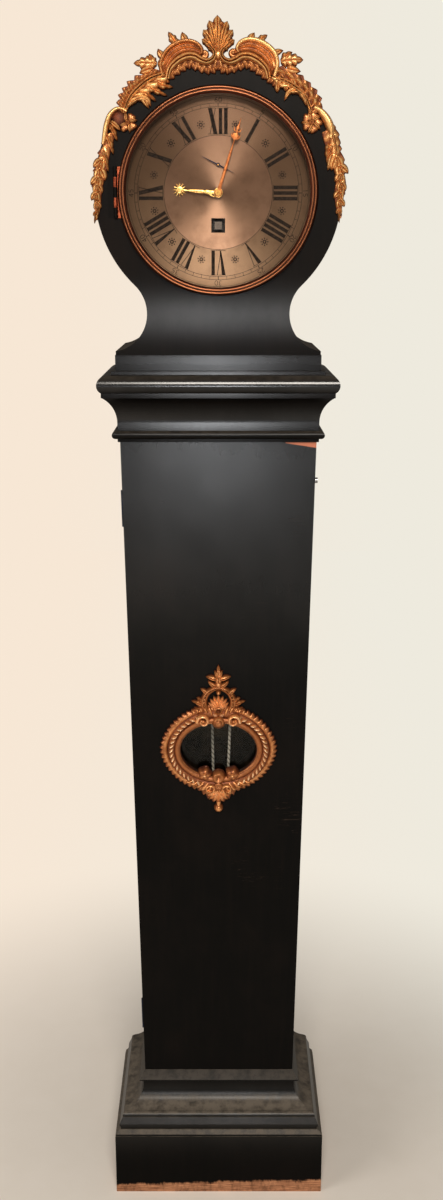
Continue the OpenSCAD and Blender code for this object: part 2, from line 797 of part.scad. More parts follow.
module hood_foot() {
    inner = foot_half - hood_slot_w / 2;
    rail = 20;
    front_y = hood_face_y - hood_foot_proud;
    color(ebony) difference() {
        translate([-foot_half, front_y, foot_z + hood_gap])
            cube([hood_foot_w, back_y - front_y, hood_foot_h - hood_gap]);
        translate([-foot_half + inner, front_y + rail, foot_z])
            cube([hood_slot_w, back_y - front_y, 2 * hood_foot_h]);
    }
}

// Ring sector in the plane of the dial, angles clockwise from twelve
module ring_sector(r0, r1, a0, a1) {
    reach = 2 * r1;
    mid = (a0 + a1) / 2;
    intersection() {
        difference() {
            circle(r = r1);
            circle(r = r0);
        }
        polygon([[0, 0], [reach * sin(a0), reach * cos(a0)], [reach * sin(mid), reach * cos(mid)],
            [reach * sin(a1), reach * cos(a1)]]);
    }
}

// Crest over the hood: shell in the middle, a fluted scroll each side, scalloped border below
module crest() {
    back = hood_face_y;
    front = hood_face_y - carving_t;
    mid = front + 3;
    low = front + 6;
    shell_z = crest_h - crest_petal_h;
    scroll_x = 48;
    scroll_z = 174;
    color(gilt) translate([0, 0, dial_z]) {
        petal(crest_petal_h, 6, front, back, 0, 0, shell_z);
        rod(17, front, back, 0, shell_z);
        for (side = [-1, 1]) {
            petal(47, 6, front, back, side * 18, 0, shell_z);
            petal(39, 6, front, back, side * 38, 0, shell_z);
            petal(28, 6, front, back, side * 62, 0, shell_z);
            slab(mid, back) translate([side * scroll_x, scroll_z]) ring_sector(8, 37, side * 76, -side * 46);
            rod(9, front, back, side * 20, scroll_z + 20);
            petal(24, 6.5, mid, back, side * 14, side * 68, scroll_z + 20);
            petal(20, 6, mid, back, side * 6, side * 54, scroll_z + 24);
            petal(16, 5, mid, back, side * 18, side * 77, scroll_z + 8);
        }
        slab(mid, back) ring_sector(183, 200, -27, 27);
        slab(low, back) ring_sector(173, 184, -26, 26);
        for (turn = [-24:6:24])
            rod(6, low, back, 174 * sin(turn), 174 * cos(turn));
    }
}

// Acanthus leaf that turns down round the head, with a rosette at its end
module acanthus() {
    back = hood_face_y;
    mid = hood_face_y - carving_t + 3;
    r0 = acanthus_mid_r - acanthus_w / 2;
    r1 = acanthus_mid_r + acanthus_w / 2;
    start = 28;
    claw = 38;
    end = 52;
    rosette_mid_r = 170;
    rosette_turn = 53.2;
    color(gilt) translate([0, 0, dial_z]) {
        slab(mid, back) ring_sector(r0, r1, start, claw);
        slab(mid, back) ring_sector(r0 + 9, r1, claw - 1, end);
        petal(20, 5, mid, back, claw + 205, (r0 + 15) * sin(claw - 2), (r0 + 15) * cos(claw - 2));
        petal(20, 5, mid, back, start + 199, (r0 + 15) * sin(start + 1), (r0 + 15) * cos(start + 1));
        for (turn = [start + 3:5:start + 13])
            petal(33, 6.5, mid, back, turn - 8, (r1 - 15) * sin(turn), (r1 - 15) * cos(turn));
        for (turn = [claw + 2:5:end - 2])
            rod(7, mid, back, (r1 - 3) * sin(turn), (r1 - 3) * cos(turn));
        rod(rosette_r, mid - 2, back, rosette_mid_r * sin(rosette_turn), rosette_mid_r * cos(rosette_turn));
    }
}

module acanthus_left() {
    mirror([1, 0, 0]) acanthus();
}

module acanthus_right() {
    acanthus();
}

// C-scroll with a chain of husks that hangs beside the dial
module husk_drop() {
    husks = 8;
    start = 61;
    step = 5.6;
    low = hood_face_y - carving_t + 4;
    back = hood_face_y;
    color(gilt) translate([0, 0, dial_z]) {
        slab(low, back) ring_sector(husk_mid_r + 4, husk_mid_r + 14, 54, start + 4);
        slab(low + 3, back) ring_sector(husk_mid_r, husk_mid_r + 6, start - 2, start + (husks - 1) * step);
        for (k = [0:husks - 1])
            rod(husk_r - k * 0.75, low, back, (husk_mid_r + k) * sin(start + k * step),
                (husk_mid_r + k) * cos(start + k * step));
    }
}

module husk_drop_left() {
    mirror([1, 0, 0]) husk_drop();
}

module husk_drop_right() {
    husk_drop();
}

// Hinge of the bezel, at its left
bezel_back_y = hood_face_y - side_gap;
bezel_front_y = hood_face_y - bezel_d;
bezel_hinge_x = -bezel_r - bezel_hinge_out;
bezel_hinge_y = hood_face_y - bezel_knuckle_r - side_gap;
bezel_plate_w = 12;
bezel_knuckles = 5;
module at_bezel_hinge() {
    translate([bezel_hinge_x, bezel_hinge_y, dial_z]) children();
}

// Plate let into the hood's face, with its outer edge beside the knuckles
module bezel_plate_shape() {
    translate([-bezel_plate_w, hood_face_y - bezel_hinge_y, -bezel_hinge_l / 2])
        cube([bezel_plate_w + bezel_knuckle_r, bezel_leaf_t, bezel_hinge_l]);
}

module bezel_hinge_plate() {
    step = bezel_hinge_l / bezel_knuckles;
    color(blued_colour) at_bezel_hinge() {
        difference() {
            union() {
                bezel_plate_shape();
                knuckles(bezel_knuckle_r, bezel_hinge_l, bezel_knuckles, 0, side_gap);
                for (k = [0:2:bezel_knuckles - 1])
                    translate([-bezel_knuckle_r, 0, -bezel_hinge_l / 2 + k * step + side_gap / 2])
                        cube([bezel_knuckle_r, bezel_knuckle_r + 1, step - side_gap]);
            }
            cylinder(r = hinge_pin_r, h = 2 * bezel_hinge_l, center = true);
        }
        cylinder(r = hinge_pin_r, h = bezel_hinge_l, center = true);
    }
}

// Moving leaf, let into the back of the bezel's flange
leaf_front = bezel_back_y - bezel_leaf_t - bezel_hinge_y;
module bezel_leaf_shape() {
    translate([0, leaf_front, -bezel_hinge_l / 2])
        cube([bezel_hinge_out + 8, bezel_leaf_t, bezel_hinge_l]);
}

module bezel_hinge_leaf() {
    step = bezel_hinge_l / bezel_knuckles;
    color(copper_colour) at_bezel_hinge() difference() {
        union() {
            bezel_leaf_shape();
            knuckles(bezel_knuckle_r, bezel_hinge_l, bezel_knuckles, 1, side_gap);
        }
        for (k = [0:2:bezel_knuckles - 1])
            translate([0, 0, -bezel_hinge_l / 2 + (k + 0.5) * step])
                cylinder(r = bezel_knuckle_r + side_gap, h = step + side_gap, center = true);
        cylinder(r = hinge_pin_r + fit_gap, h = 2 * bezel_hinge_l, center = true);
    }
}

// Bezel: a coved flange, two beads and the rebate that holds the glass
bezel_rebate_r = bezel_sight_r + 3.3;
glass_back_y = bezel_front_y + 9;
module bezel_turned() {
    translate([0, bezel_back_y, dial_z]) rotate([90, 0, 0]) rotate_extrude() children();
}

module bezel_ring() {
    flange_y = bezel_flange_t - side_gap;
    front_y = bezel_d - side_gap;
    glass_y = bezel_back_y - glass_back_y + glass_t;
    bead_in = bezel_sight_r + 4;
    bead_out = bezel_sight_r + 8.3;
    color(copper_colour) difference() {
        union() {
            bezel_turned() polygon([[bezel_sight_r, front_y - 5], [bezel_sight_r + 2, front_y - 3.2],
                [bead_out + 1.2, front_y - 3.2], [bezel_r - 1.2, flange_y + 1.5], [bezel_r, flange_y],
                [bezel_r, 0], [bezel_rebate_r, 0], [bezel_rebate_r, glass_y], [bezel_sight_r, glass_y]]);
            bezel_turned() translate([bead_in, front_y - bezel_bead_r]) circle(r = bezel_bead_r);
            bezel_turned() translate([bead_out, front_y - bezel_bead_r - 1]) circle(r = bezel_bead_r);
        }
        at_bezel_hinge() bezel_leaf_shape();
        at_bezel_hinge() cylinder(r = bezel_knuckle_r + side_gap, h = bezel_hinge_l, center = true);
    }
}

module bezel_glass() {
    color(glass_colour) rod(bezel_rebate_r - side_gap, glass_back_y - glass_t, glass_back_y, 0, dial_z);
}

// Dial and movement plates

stud_x = -motion_module * (cannon_leaves + minute_wheel_teeth) / 2 * cos(45);
stud_z = dial_z + stud_x;
hour_pipe_r = 4;
cannon_pipe_r = 2.5;
centre_front_r = 1.5;
seconds_front_r = 1.2;
third_d = train_module * (centre_teeth + third_leaves) / 2;
third_e = train_module * (third_teeth + escape_leaves) / 2;
third_dz = (pow(third_d, 2) - pow(third_e, 2) + pow(seconds_rise, 2)) / (2 * seconds_rise);
third_x = sqrt(pow(third_d, 2) - pow(third_dz, 2));
third_z = dial_z + third_dz;

module dial_plate() {
    color(dial_colour) {
        difference() {
            slab(dial_front_y, dial_back_y) difference() {
                translate([0, dial_z]) circle(r = dial_r);
                translate([0, dial_z]) circle(r = hour_pipe_r + 1);
                translate([0, seconds_z]) circle(r = seconds_front_r + 1);
                translate([-winding_hole_w / 2, great_z - winding_hole_w / 2]) square(winding_hole_w);
            }
        }
        for (sx = [-1, 1], sz = [-1, 1])
            rod(dial_foot_r, dial_back_y, plate_front_y, sx * dial_foot_x, dial_z + sz * dial_foot_z);
    }
}

// Places of the pillars at the corners of the plates
pillar_x = plate_w / 2 - pillar_inset;
pillar_low_z = seat_top_z + pillar_inset + 1;
pillar_high_z = plate_top_z - pillar_inset - 1;
module at_pillars() {
    for (sx = [-1, 1], z = [pillar_low_z, pillar_high_z])
        translate([sx * pillar_x, 0, z]) children();
}

module plate_outline() {
    difference() {
        translate([-plate_w / 2, seat_top_z]) square([plate_w, plate_top_z - seat_top_z]);
        for (sx = [-1, 1], z = [pillar_low_z, pillar_high_z])
            translate([sx * pillar_x, z]) circle(r = pillar_screw_r + fit_gap);
        translate([third_x, third_z]) circle(r = pivot_r + pivot_gap);
    }
}

module front_plate() {
    color(brass_colour) {
        slab(plate_front_y, plates_in_y) difference() {
            plate_outline();
            translate([0, dial_z]) circle(r = centre_front_r + pivot_gap);
            translate([0, seconds_z]) circle(r = seconds_front_r + pivot_gap);
            translate([0, pallet_z]) circle(r = pivot_r + pivot_gap);
            translate([0, great_z]) circle(r = barrel_journal_r + pivot_gap);
        }
        rod(1.5, plate_front_y - 11, plate_front_y, stud_x, stud_z);
    }
}

barrel_back_r = 3.5;
module back_plate() {
    color(brass_colour) slab(plates_out_y, plate_back_y) difference() {
        plate_outline();
        translate([0, dial_z]) circle(r = pivot_r + pivot_gap);
        translate([0, seconds_z]) circle(r = pivot_r + pivot_gap);
        translate([0, pallet_z]) circle(r = arbor_r + 2);
        translate([0, great_z]) circle(r = barrel_back_r + pivot_gap);
    }
}

seat_bolt_l = seat_t + pillar_low_z - seat_top_z;
module plate_pillars() {
    screw_deep = 12;
    color(brass_colour) difference() {
        at_pillars() rod(pillar_r, plates_in_y, plates_out_y);
        at_pillars() rod(pillar_screw_r, plates_in_y - cut_over, plates_in_y + screw_deep);
        at_pillars() rod(pillar_screw_r, plates_out_y - screw_deep, plates_out_y + cut_over);
        for (side = [-1, 1])
            translate([side * pillar_x, (plates_in_y + plates_out_y) / 2, pillar_low_z - 2 * pillar_r])
                cylinder(r = seat_bolt_r, h = 2 * pillar_r);
    }
}

module pillar_screws() {
    head_r = 4;
    head_t = 2;
    shank = 11;
    color(blued_colour) at_pillars() {
        difference() {
            rod(head_r, plate_front_y - head_t, plate_front_y);
            translate([-head_r - 1, plate_front_y - head_t - 1, -0.4]) cube([2 * head_r + 2, 1.8, 0.8]);
        }
        rod(pillar_screw_r, plate_front_y - 1, plates_in_y + shank);
        difference() {
            rod(head_r, plate_back_y, plate_back_y + head_t);
            translate([-head_r - 1, plate_back_y + head_t - 0.8, -0.4]) cube([2 * head_r + 2, 1.8, 0.8]);
        }
        rod(pillar_screw_r, plates_out_y - shank, plate_back_y + 1);
    }
}

module seat_bolts() {
    head_r = 5;
    head_h = 4;
    color(steel_colour) for (side = [-1, 1])
        translate([side * pillar_x, (plates_in_y + plates_out_y) / 2, cheek_top_z]) {
            cylinder(r = seat_bolt_r, h = seat_bolt_l);
            translate([0, 0, -head_h]) cylinder(r = head_r, h = head_h);
        }
}

// Cock on the back plate: carries the pallet arbor's rear pivot and the suspension
cock_y = plate_back_y + 7;
cock_t = 3;
cock_half = 22;
cock_top = 20;
module pendulum_cock() {
    color(brass_colour) translate([0, 0, pallet_z]) difference() {
        union() {
            translate([-cock_half, cock_y, -8]) cube([2 * cock_half, cock_t, cock_top + 8]);
            for (side = [-1, 1])
                translate([side * (cock_half - 3) - 3, plate_back_y, -8]) cube([6, cock_y - plate_back_y, cock_top + 8]);
            translate([-12, cock_y, cock_top - 14]) cube([24, rod_y + 8 - cock_y, 14]);
        }
        rod(pivot_r + pivot_gap, cock_y - cut_over, cock_y + cock_t + cut_over);
        translate([-1.3, rod_y - 4, 0]) cube([2.6, 8, cock_top + cut_over]);
    }
}

// Train

// Flat wheel with n trapezoid teeth, the first one turned to angle
module gear_flat(n, m, angle = 0) {
    rp = n * m / 2;
    tip = rp + 0.9 * m;
    root = rp - 1.2 * m;
    pitch = 360 / n;
    rotate(angle) polygon([for (k = [0:n - 1], c = [[root, -0.24], [tip, -0.08], [tip, 0.08], [root, 0.24]])
        [c[0] * cos((k + c[1]) * pitch), c[0] * sin((k + c[1]) * pitch)]]);
}

// Toothed wheel crossed out to a rim, arms and hub
module crossed_wheel(n, m, angle, rim, hub, arms = 5) {
    inner = n * m / 2 - 1.2 * m - rim;
    arm_w = 2.4;
    difference() {
        gear_flat(n, m, angle);
        circle(r = inner);
    }
    circle(r = hub);
    for (k = [0:arms - 1])
        rotate(k * 360 / arms) translate([0, -arm_w / 2]) square([inner + rim / 2, arm_w]);
}

// Depths of the wheels between the plates
great_y = plates_out_y - 6;
barrel_front_y = plates_in_y + 7;
barrel_end_y = great_y - 2.5;
centre_wheel_y = plates_in_y + 2;
third_pinion_y = plates_in_y + 1;
third_wheel_y = plates_in_y + 30;
escape_y = third_wheel_y + 9;

module barrel() {
    flange = 2;
    color(brass_colour) translate([0, 0, great_z]) {
        rod(barrel_r, barrel_front_y, barrel_end_y);
        rod(barrel_flange_r, barrel_front_y, barrel_front_y + flange);
        rod(barrel_flange_r, barrel_end_y - flange, barrel_end_y);
        slab(barrel_end_y, great_y - side_gap) rotate(3) polygon([for (k = [0:ratchet_teeth - 1], c = [0, 0.8])
            [(ratchet_r - c * 2) * cos((k + c) * 360 / ratchet_teeth),
                (ratchet_r - c * 2) * sin((k + c) * 360 / ratchet_teeth)]]);
        rod(barrel_journal_r, plate_front_y - 1, barrel_front_y);
        rod(barrel_back_r, barrel_end_y, plate_back_y);
        difference() {
            translate([-winding_square_w / 2, dial_front_y - 2, -winding_square_w / 2])
                cube([winding_square_w, plate_front_y - dial_front_y + 2, winding_square_w]);
            rod(2, dial_front_y - 3, dial_front_y);
        }
    }
}

// Turns of the line wound on the barrel, one ring per turn
module line_coils() {
    color(gut_colour) for (k = [0:coil_turns - 1])
        translate([0, first_coil_y + k * 2 * line_r, great_z]) rotate([-90, 0, 0]) rotate_extrude()
            translate([barrel_r + line_r, 0]) circle(r = line_r, $fn = 24);
}

module great_wheel() {
    color(brass_colour) translate([0, 0, great_z]) slab(great_y, great_y + great_wheel_t) difference() {
        crossed_wheel(great_teeth, great_module, 90, 14, 10, 6);
        circle(r = barrel_back_r + pivot_gap);
    }
}

// Pawl on the great wheel that stops the ratchet
module click() {
    pivot_x = 25.2;
    pivot_z = -19.7;
    tip_r = ratchet_r + 0.5;
    front = great_y - 2.1;
    color(steel_colour) translate([0, 0, great_z]) {
        rod(3, front, great_y, pivot_x, pivot_z);
        slab(front, great_y)
            polygon([[pivot_x - 2.6, pivot_z], [pivot_x + 2.6, pivot_z], [tip_r + 1.8, 0.5], [tip_r, 0]]);
    }
}

module centre_wheel() {
    third_dir = atan2(third_dz, third_x);
    color(brass_colour) translate([0, 0, dial_z]) {
        slab(centre_wheel_y, centre_wheel_y + wheel_t) crossed_wheel(centre_teeth, train_module, third_dir, 3, 5);
        slab(great_y - 1, great_y + great_wheel_t + 1)
            gear_flat(centre_leaves, great_module, -90 + 180 / centre_leaves);
        rod(arbor_r, plates_in_y + 0.5, plates_out_y - 0.5);
        rod(pivot_r, plates_out_y - 1, plate_back_y);
        rod(centre_front_r, hand_front_y - 4, plates_in_y + 1);
    }
}

// Depths of the hands in front of the dial
hand_back_y = dial_front_y - 3.5;
hour_hand_y = dial_front_y - 7.5;
minute_hand_y = dial_front_y - 12.5;
hand_front_y = minute_hand_y - hand_t;
cannon_y = plate_front_y - 5;

module cannon_pinion() {
    color(steel_colour) translate([0, 0, dial_z]) difference() {
        union() {
            slab(cannon_y, cannon_y + 3) gear_flat(cannon_leaves, motion_module, 225 + 180 / cannon_leaves);
            rod(cannon_pipe_r, hand_front_y, cannon_y + 4);
        }
        rod(centre_front_r + 0.02, hand_front_y - 1, cannon_y + 5);
    }
}

// Lays a hand drawn upright at its angle, clockwise from twelve, on the arbor at height z
module at_hand(angle, z) {
    translate([0, 0, z]) rotate([0, angle, 0]) children();
}

module minute_hand() {
    y0 = hand_front_y;
    y1 = minute_hand_y;
    leaf = minute_hand_l - 27;
    color(gilt) at_hand(minute_angle, dial_z) difference() {
        union() {
            rod(6, y0, y1);
            slab(y0, y1) polygon([[-3, 4], [3, 4], [1.2, leaf - 4], [0, minute_hand_l], [-1.2, leaf - 4]]);
            rod(4, y0, y1, 0, leaf - 6);
            for (side = [-1, 1]) {
                petal(10, 2, y0, y1, side * 52, 0, leaf - 5);
                petal(10, 2, y0, y1, side * 44, 0, leaf + 2);
            }
            petal(17, 2.6, y0, y1, 0, 0, leaf);
        }
        rod(cannon_pipe_r + 0.02, y0 - cut_over, y1 + cut_over);
    }
}

module hand_collet() {
    color(brass_colour) translate([0, 0, dial_z]) difference() {
        rod(4.2, hand_front_y - 2.5, hand_front_y);
        rod(centre_front_r + 0.02, hand_front_y - 4, hand_front_y + 1);
    }
}

minute_wheel_y = cannon_y + 0.5;
hour_wheel_y = minute_wheel_y - 4;
module minute_wheel() {
    color(brass_colour) translate([stud_x, 0, stud_z]) difference() {
        union() {
            slab(minute_wheel_y, minute_wheel_y + wheel_t) gear_flat(minute_wheel_teeth, motion_module, 45);
            slab(hour_wheel_y - 0.5, minute_wheel_y) gear_flat(minute_leaves, motion_module, 45);
        }
        rod(1.5 + pivot_gap, hour_wheel_y - 2, minute_wheel_y + 4);
    }
}

module hour_wheel() {
    color(brass_colour) translate([0, 0, dial_z]) difference() {
        union() {
            slab(hour_wheel_y, hour_wheel_y + wheel_t) gear_flat(hour_teeth, motion_module, 225 + 180 / hour_teeth);
            rod(hour_pipe_r, hour_hand_y - hand_t, hour_wheel_y + wheel_t);
        }
        rod(cannon_pipe_r + pivot_gap, hour_hand_y - 4, hour_wheel_y + 4);
    }
}

module hour_hand() {
    y0 = hour_hand_y - hand_t;
    y1 = hour_hand_y;
    rays = 14;
    color(gilt) at_hand(hour_angle, dial_z) difference() {
        union() {
            rod(7, y0, y1);
            slab(y0, y1) polygon([[-4, 4], [4, 4], [1.4, hour_hand_l - 3], [-1.4, hour_hand_l - 3]]);
            rod(sunburst_r - 4, y0, y1, 0, hour_hand_l);
            for (k = [0:rays - 1])
                translate([0, 0, hour_hand_l]) rotate([0, k * 360 / rays, 0]) slab(y0, y1)
                    polygon([[-1.2, 1], [1.2, 1], [0.25, sunburst_r], [-0.25, sunburst_r]]);
        }
        rod(hour_pipe_r + 0.02, y0 - cut_over, y1 + cut_over);
    }
}

module third_wheel() {
    centre_dir = atan2(-third_dz, -third_x);
    escape_dir = atan2(seconds_rise - third_dz, -third_x);
    color(brass_colour) translate([third_x, 0, third_z]) {
        slab(third_wheel_y, third_wheel_y + wheel_t) crossed_wheel(third_teeth, train_module, escape_dir, 3, 5);
        slab(third_pinion_y, third_pinion_y + 5)
            gear_flat(third_leaves, train_module, centre_dir + 180 / third_leaves);
        rod(arbor_r - 0.2, plates_in_y + 0.5, plates_out_y - 0.5);
        rod(pivot_r, plate_front_y, plates_in_y + 1);
        rod(pivot_r, plates_out_y - 1, plate_back_y);
    }
}

module escape_wheel() {
    third_dir = atan2(third_dz - seconds_rise, third_x);
    color(brass_colour) translate([0, 0, seconds_z]) {
        slab(escape_y, escape_y + wheel_t) {
            difference() {
                polygon([for (k = [0:escape_teeth - 1], c = [[0, 0], [0.12, 0], [0.2, 4], [0.75, 4.2]])
                    [(escape_r - c[1]) * cos((k + c[0]) * 360 / escape_teeth),
                        (escape_r - c[1]) * sin((k + c[0]) * 360 / escape_teeth)]]);
                circle(r = escape_r - 7);
            }
            circle(r = 4.5);
            for (k = [0:4])
                rotate(k * 72) translate([0, -1]) square([escape_r - 6, 2]);
        }
        slab(third_wheel_y - 1, third_wheel_y + wheel_t + 1)
            gear_flat(escape_leaves, train_module, third_dir + 180 / escape_leaves);
        rod(arbor_r - 0.2, plates_in_y + 0.5, plates_out_y - 0.5);
        rod(pivot_r, plates_out_y - 1, plate_back_y);
        rod(seconds_front_r, hand_back_y - 1.2, plates_in_y + 1);
    }
}

module seconds_hand() {
    y0 = hand_back_y - hand_t / 2;
    y1 = hand_back_y + hand_t / 2;
    color(blued_colour) at_hand(seconds_angle, seconds_z) difference() {
        union() {
            rod(2.8, y0, y1);
            slab(y0, y1) polygon([[-1, 0], [-0.2, seconds_hand_l], [0.2, seconds_hand_l], [1, 0],
                [0.2, -seconds_hand_l], [-0.2, -seconds_hand_l]]);
        }
        rod(seconds_front_r + 0.02, y0 - cut_over, y1 + cut_over);
    }
}

// Anchor pallets on their arbor, with the crutch that moves the pendulum
module pallets() {
    span = 63;
    reach = escape_r + 0.9;
    tip_x = reach * sin(span);
    tip_z = reach * cos(span) - pallet_rise;
    crutch_y = plate_back_y + 2.5;
    fork_z = -crutch_l;
    color(steel_colour) translate([0, 0, pallet_z]) {
        slab(escape_y - 1, escape_y + wheel_t + 1) {
            circle(r = 6);
            for (side = [-1, 1]) {
                polygon([[side * 2, 5], [side * (tip_x + 4), tip_z + 14], [side * (tip_x + 7), tip_z + 8],
                    [side * 1, -6]]);
                polygon([[side * (tip_x + 1.5), tip_z + 12], [side * (tip_x + 7), tip_z + 10],
                    [side * (tip_x + 4), tip_z + 0.5], [side * (tip_x + 0.8), tip_z + 2.5]]);
            }
        }
        rod(arbor_r, plates_in_y + 0.5, cock_y - 0.5);
        rod(pivot_r, plate_front_y, plates_in_y + 1);
        rod(pivot_r, cock_y - 1, cock_y + cock_t);
        slab(crutch_y, crutch_y + 2.5) {
            circle(r = 5);
            translate([-2.5, fork_z]) square([5, crutch_l]);
            translate([-rod_r - 3, fork_z]) square([2 * rod_r + 6, 5]);
        }
        for (side = [-1, 1])
            translate([side * (rod_r + 1.6) - 1.2, crutch_y, fork_z])
                cube([2.4, rod_y + rod_r - crutch_y, 5]);
    }
}

// Pendulum

// Strip of spring steel hung from the cock by its upper chop
chop_z = -18;
chop_h = 9;
module suspension_spring() {
    color(steel_colour) translate([0, rod_y, pallet_z]) {
        translate([-0.15, -3, chop_z + chop_h + side_gap]) cube([0.3, 6, cock_top + 1 - chop_z - chop_h]);
        translate([-5, -4, cock_top]) cube([10, 8, 5]);
    }
}

module pendulum_rod() {
    bottom = -pendulum_l - bob_r - nut_h - 8;
    color(steel_colour) translate([0, rod_y, pallet_z]) {
        translate([0, 0, bottom]) cylinder(r = rod_r, h = chop_z + 1 - bottom);
        translate([-3.5, -4, chop_z]) cube([7, 8, chop_h]);
    }
}

module pendulum_bob() {
    cap_h = (bob_t - 3) / 2;
    cap_r = (pow(bob_r, 2) + pow(cap_h, 2)) / (2 * cap_h);
    color(brass_colour) difference() {
        translate([0, rod_y, bob_z]) rotate([90, 0, 0]) rotate_extrude() intersection() {
            translate([0, cap_r - bob_t / 2]) circle(r = cap_r, $fn = 240);
            translate([0, -cap_r + bob_t / 2]) circle(r = cap_r, $fn = 240);
            translate([0, -bob_t]) square([bob_r, 2 * bob_t]);
        }
        translate([0, rod_y, bob_z - 2 * bob_r]) cylinder(r = rod_r, h = 4 * bob_r);
        translate([-nut_r - 8, rod_y - bob_t, bob_z - bob_r - 10]) cube([2 * nut_r + 16, 2 * bob_t, 13]);
    }
}

module rating_nut() {
    color(brass_colour) translate([0, rod_y, bob_z - bob_r + 3 - nut_h]) difference() {
        cylinder(r = nut_r, h = nut_h);
        translate([0, 0, -cut_over]) cylinder(r = rod_r, h = nut_h + 2 * cut_over);
        for (k = [0:17])
            rotate(k * 20) translate([nut_r + 0.6, 0, 2]) cylinder(r = 1.2, h = nut_h - 4, $fn = 24);
    }
}

// Line, pulley and weight

weight_y = (trunk_front_y + door_t + rod_y - bob_t / 2) / 2;
pulley_dx = pulley_line_r * cos(pulley_twist);
pulley_dy = pulley_line_r * sin(pulley_twist);
line_low_right = [pulley_x + pulley_dx, weight_y - pulley_dy, pulley_z];
line_low_left = [pulley_x - pulley_dx, weight_y + pulley_dy, pulley_z];

// Straight round run from a low point to a high one
module run(low, high, r) {
    d = high - low;
    length = norm(d);
    translate(low) rotate([0, acos(d[2] / length), atan2(d[1], d[0])]) cylinder(r = r, h = length);
}

module line_run_left() {
    color(gut_colour) run(line_low_left, line_top, line_r);
}

module line_run_right() {
    color(gut_colour) {
        run(line_low_right, line_tie, line_r);
        translate(line_tie + [0, 0, 3]) sphere(r = 4);
    }
}

// Half turn of the line under the pulley
module line_bight() {
    color(gut_colour) translate([pulley_x, weight_y, pulley_z]) rotate([0, 0, -pulley_twist])
        difference() {
            rotate([90, 0, 0]) rotate_extrude() translate([pulley_line_r, 0]) circle(r = line_r, $fn = 32);
            translate([-2 * pulley_line_r, -2 * pulley_line_r, 0])
                cube([4 * pulley_line_r, 4 * pulley_line_r, 2 * pulley_line_r]);
        }
}

pulley_axle_r = 2;
pulley_half_t = 3.5;
module pulley() {
    color(brass_colour) translate([pulley_x, weight_y, pulley_z]) rotate([0, 0, -pulley_twist])
        rotate([90, 0, 0]) difference() {
            translate([0, 0, -pulley_half_t]) cylinder(r = pulley_line_r + 1.5, h = 2 * pulley_half_t);
            rotate_extrude() translate([pulley_line_r, 0]) circle(r = line_r + 0.25, $fn = 32);
            rotate_extrude() translate([pulley_line_r, -line_r - 0.25]) square([3, 2 * line_r + 0.5]);
            translate([0, 0, -2 * pulley_half_t])
                cylinder(r = pulley_axle_r + pivot_gap, h = 4 * pulley_half_t);
        }
}

// Brass-cased weight hung from the pulley's stirrup
module weight() {
    strap_t = 2;
    strap_w = 8;
    gap = pulley_half_t + side_gap;
    strap_low = pulley_line_r + 8;
    body_top = strap_low + 12;
    color(brass_colour) translate([pulley_x, weight_y, pulley_z]) {
        rotate([0, 0, -pulley_twist]) {
            for (side = [0, 1]) mirror([0, side, 0])
                translate([-strap_w / 2, gap, -strap_low]) cube([strap_w, strap_t, strap_low + 5]);
            translate([-strap_w / 2, -gap - strap_t, -strap_low - strap_t])
                cube([strap_w, 2 * (gap + strap_t), strap_t + 1]);
            rotate([90, 0, 0]) translate([0, 0, -gap - strap_t - 1])
                cylinder(r = pulley_axle_r, h = 2 * (gap + strap_t + 1));
        }
        translate([0, 0, -body_top - 2]) cylinder(r = 3, h = 14);
        translate([0, 0, -body_top - weight_l]) cylinder(r = weight_r, h = weight_l);
        translate([0, 0, -body_top - 1]) cylinder(r = weight_r - 6, h = 3);
    }
}

bottom_board();
plinth();
base_moulding();
backboard();
trunk_side_left();
trunk_side_right();
cornice();
cheek_left();
cheek_right();
seatboard();
trunk_hinge_leaves();
trunk_door();
door_hinge_leaves();
lenticle_frame();
lenticle_glass();
catch_knob();
hood_front();
hood_band();
hood_foot();
crest();
acanthus_left();
acanthus_right();
husk_drop_left();
husk_drop_right();
bezel_hinge_plate();
bezel_ring();
bezel_glass();
bezel_hinge_leaf();
dial_plate();
front_plate();
back_plate();
plate_pillars();
pillar_screws();
seat_bolts();
pendulum_cock();
barrel();
line_coils();
great_wheel();
click();
centre_wheel();
cannon_pinion();
minute_hand();
hand_collet();
minute_wheel();
hour_wheel();
hour_hand();
third_wheel();
escape_wheel();
seconds_hand();
pallets();
suspension_spring();
pendulum_rod();
pendulum_bob();
rating_nut();
line_run_left();
line_run_right();
line_bight();
pulley();
weight();
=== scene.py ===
import math

import bpy
import numpy as np
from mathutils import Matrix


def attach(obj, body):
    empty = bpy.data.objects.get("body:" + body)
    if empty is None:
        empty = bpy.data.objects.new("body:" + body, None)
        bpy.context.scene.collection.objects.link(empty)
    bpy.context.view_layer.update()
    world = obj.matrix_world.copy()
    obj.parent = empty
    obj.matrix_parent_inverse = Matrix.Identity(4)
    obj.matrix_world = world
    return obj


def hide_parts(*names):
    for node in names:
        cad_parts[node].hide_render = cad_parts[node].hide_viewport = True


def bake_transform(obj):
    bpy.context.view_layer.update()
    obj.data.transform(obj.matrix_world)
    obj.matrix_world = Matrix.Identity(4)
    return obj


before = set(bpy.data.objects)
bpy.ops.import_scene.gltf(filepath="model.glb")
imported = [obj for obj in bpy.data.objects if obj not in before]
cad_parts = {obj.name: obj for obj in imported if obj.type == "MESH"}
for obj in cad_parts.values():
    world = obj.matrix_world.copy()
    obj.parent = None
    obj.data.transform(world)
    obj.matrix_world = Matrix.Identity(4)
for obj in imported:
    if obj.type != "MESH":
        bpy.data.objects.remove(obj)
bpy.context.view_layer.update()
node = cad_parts


# Camera
# The photograph was taken from about two metres away at eye height, tipped
# down at the foot of the clock, with the lens level from side to side.
camera_data = bpy.data.cameras.new("camera")
camera_data.sensor_width = 36
camera_data.lens = 36.66
camera_data.clip_start = 0.05
camera = bpy.data.objects.new("camera", camera_data)
camera.location = (0.005, -2.001, 1.656)
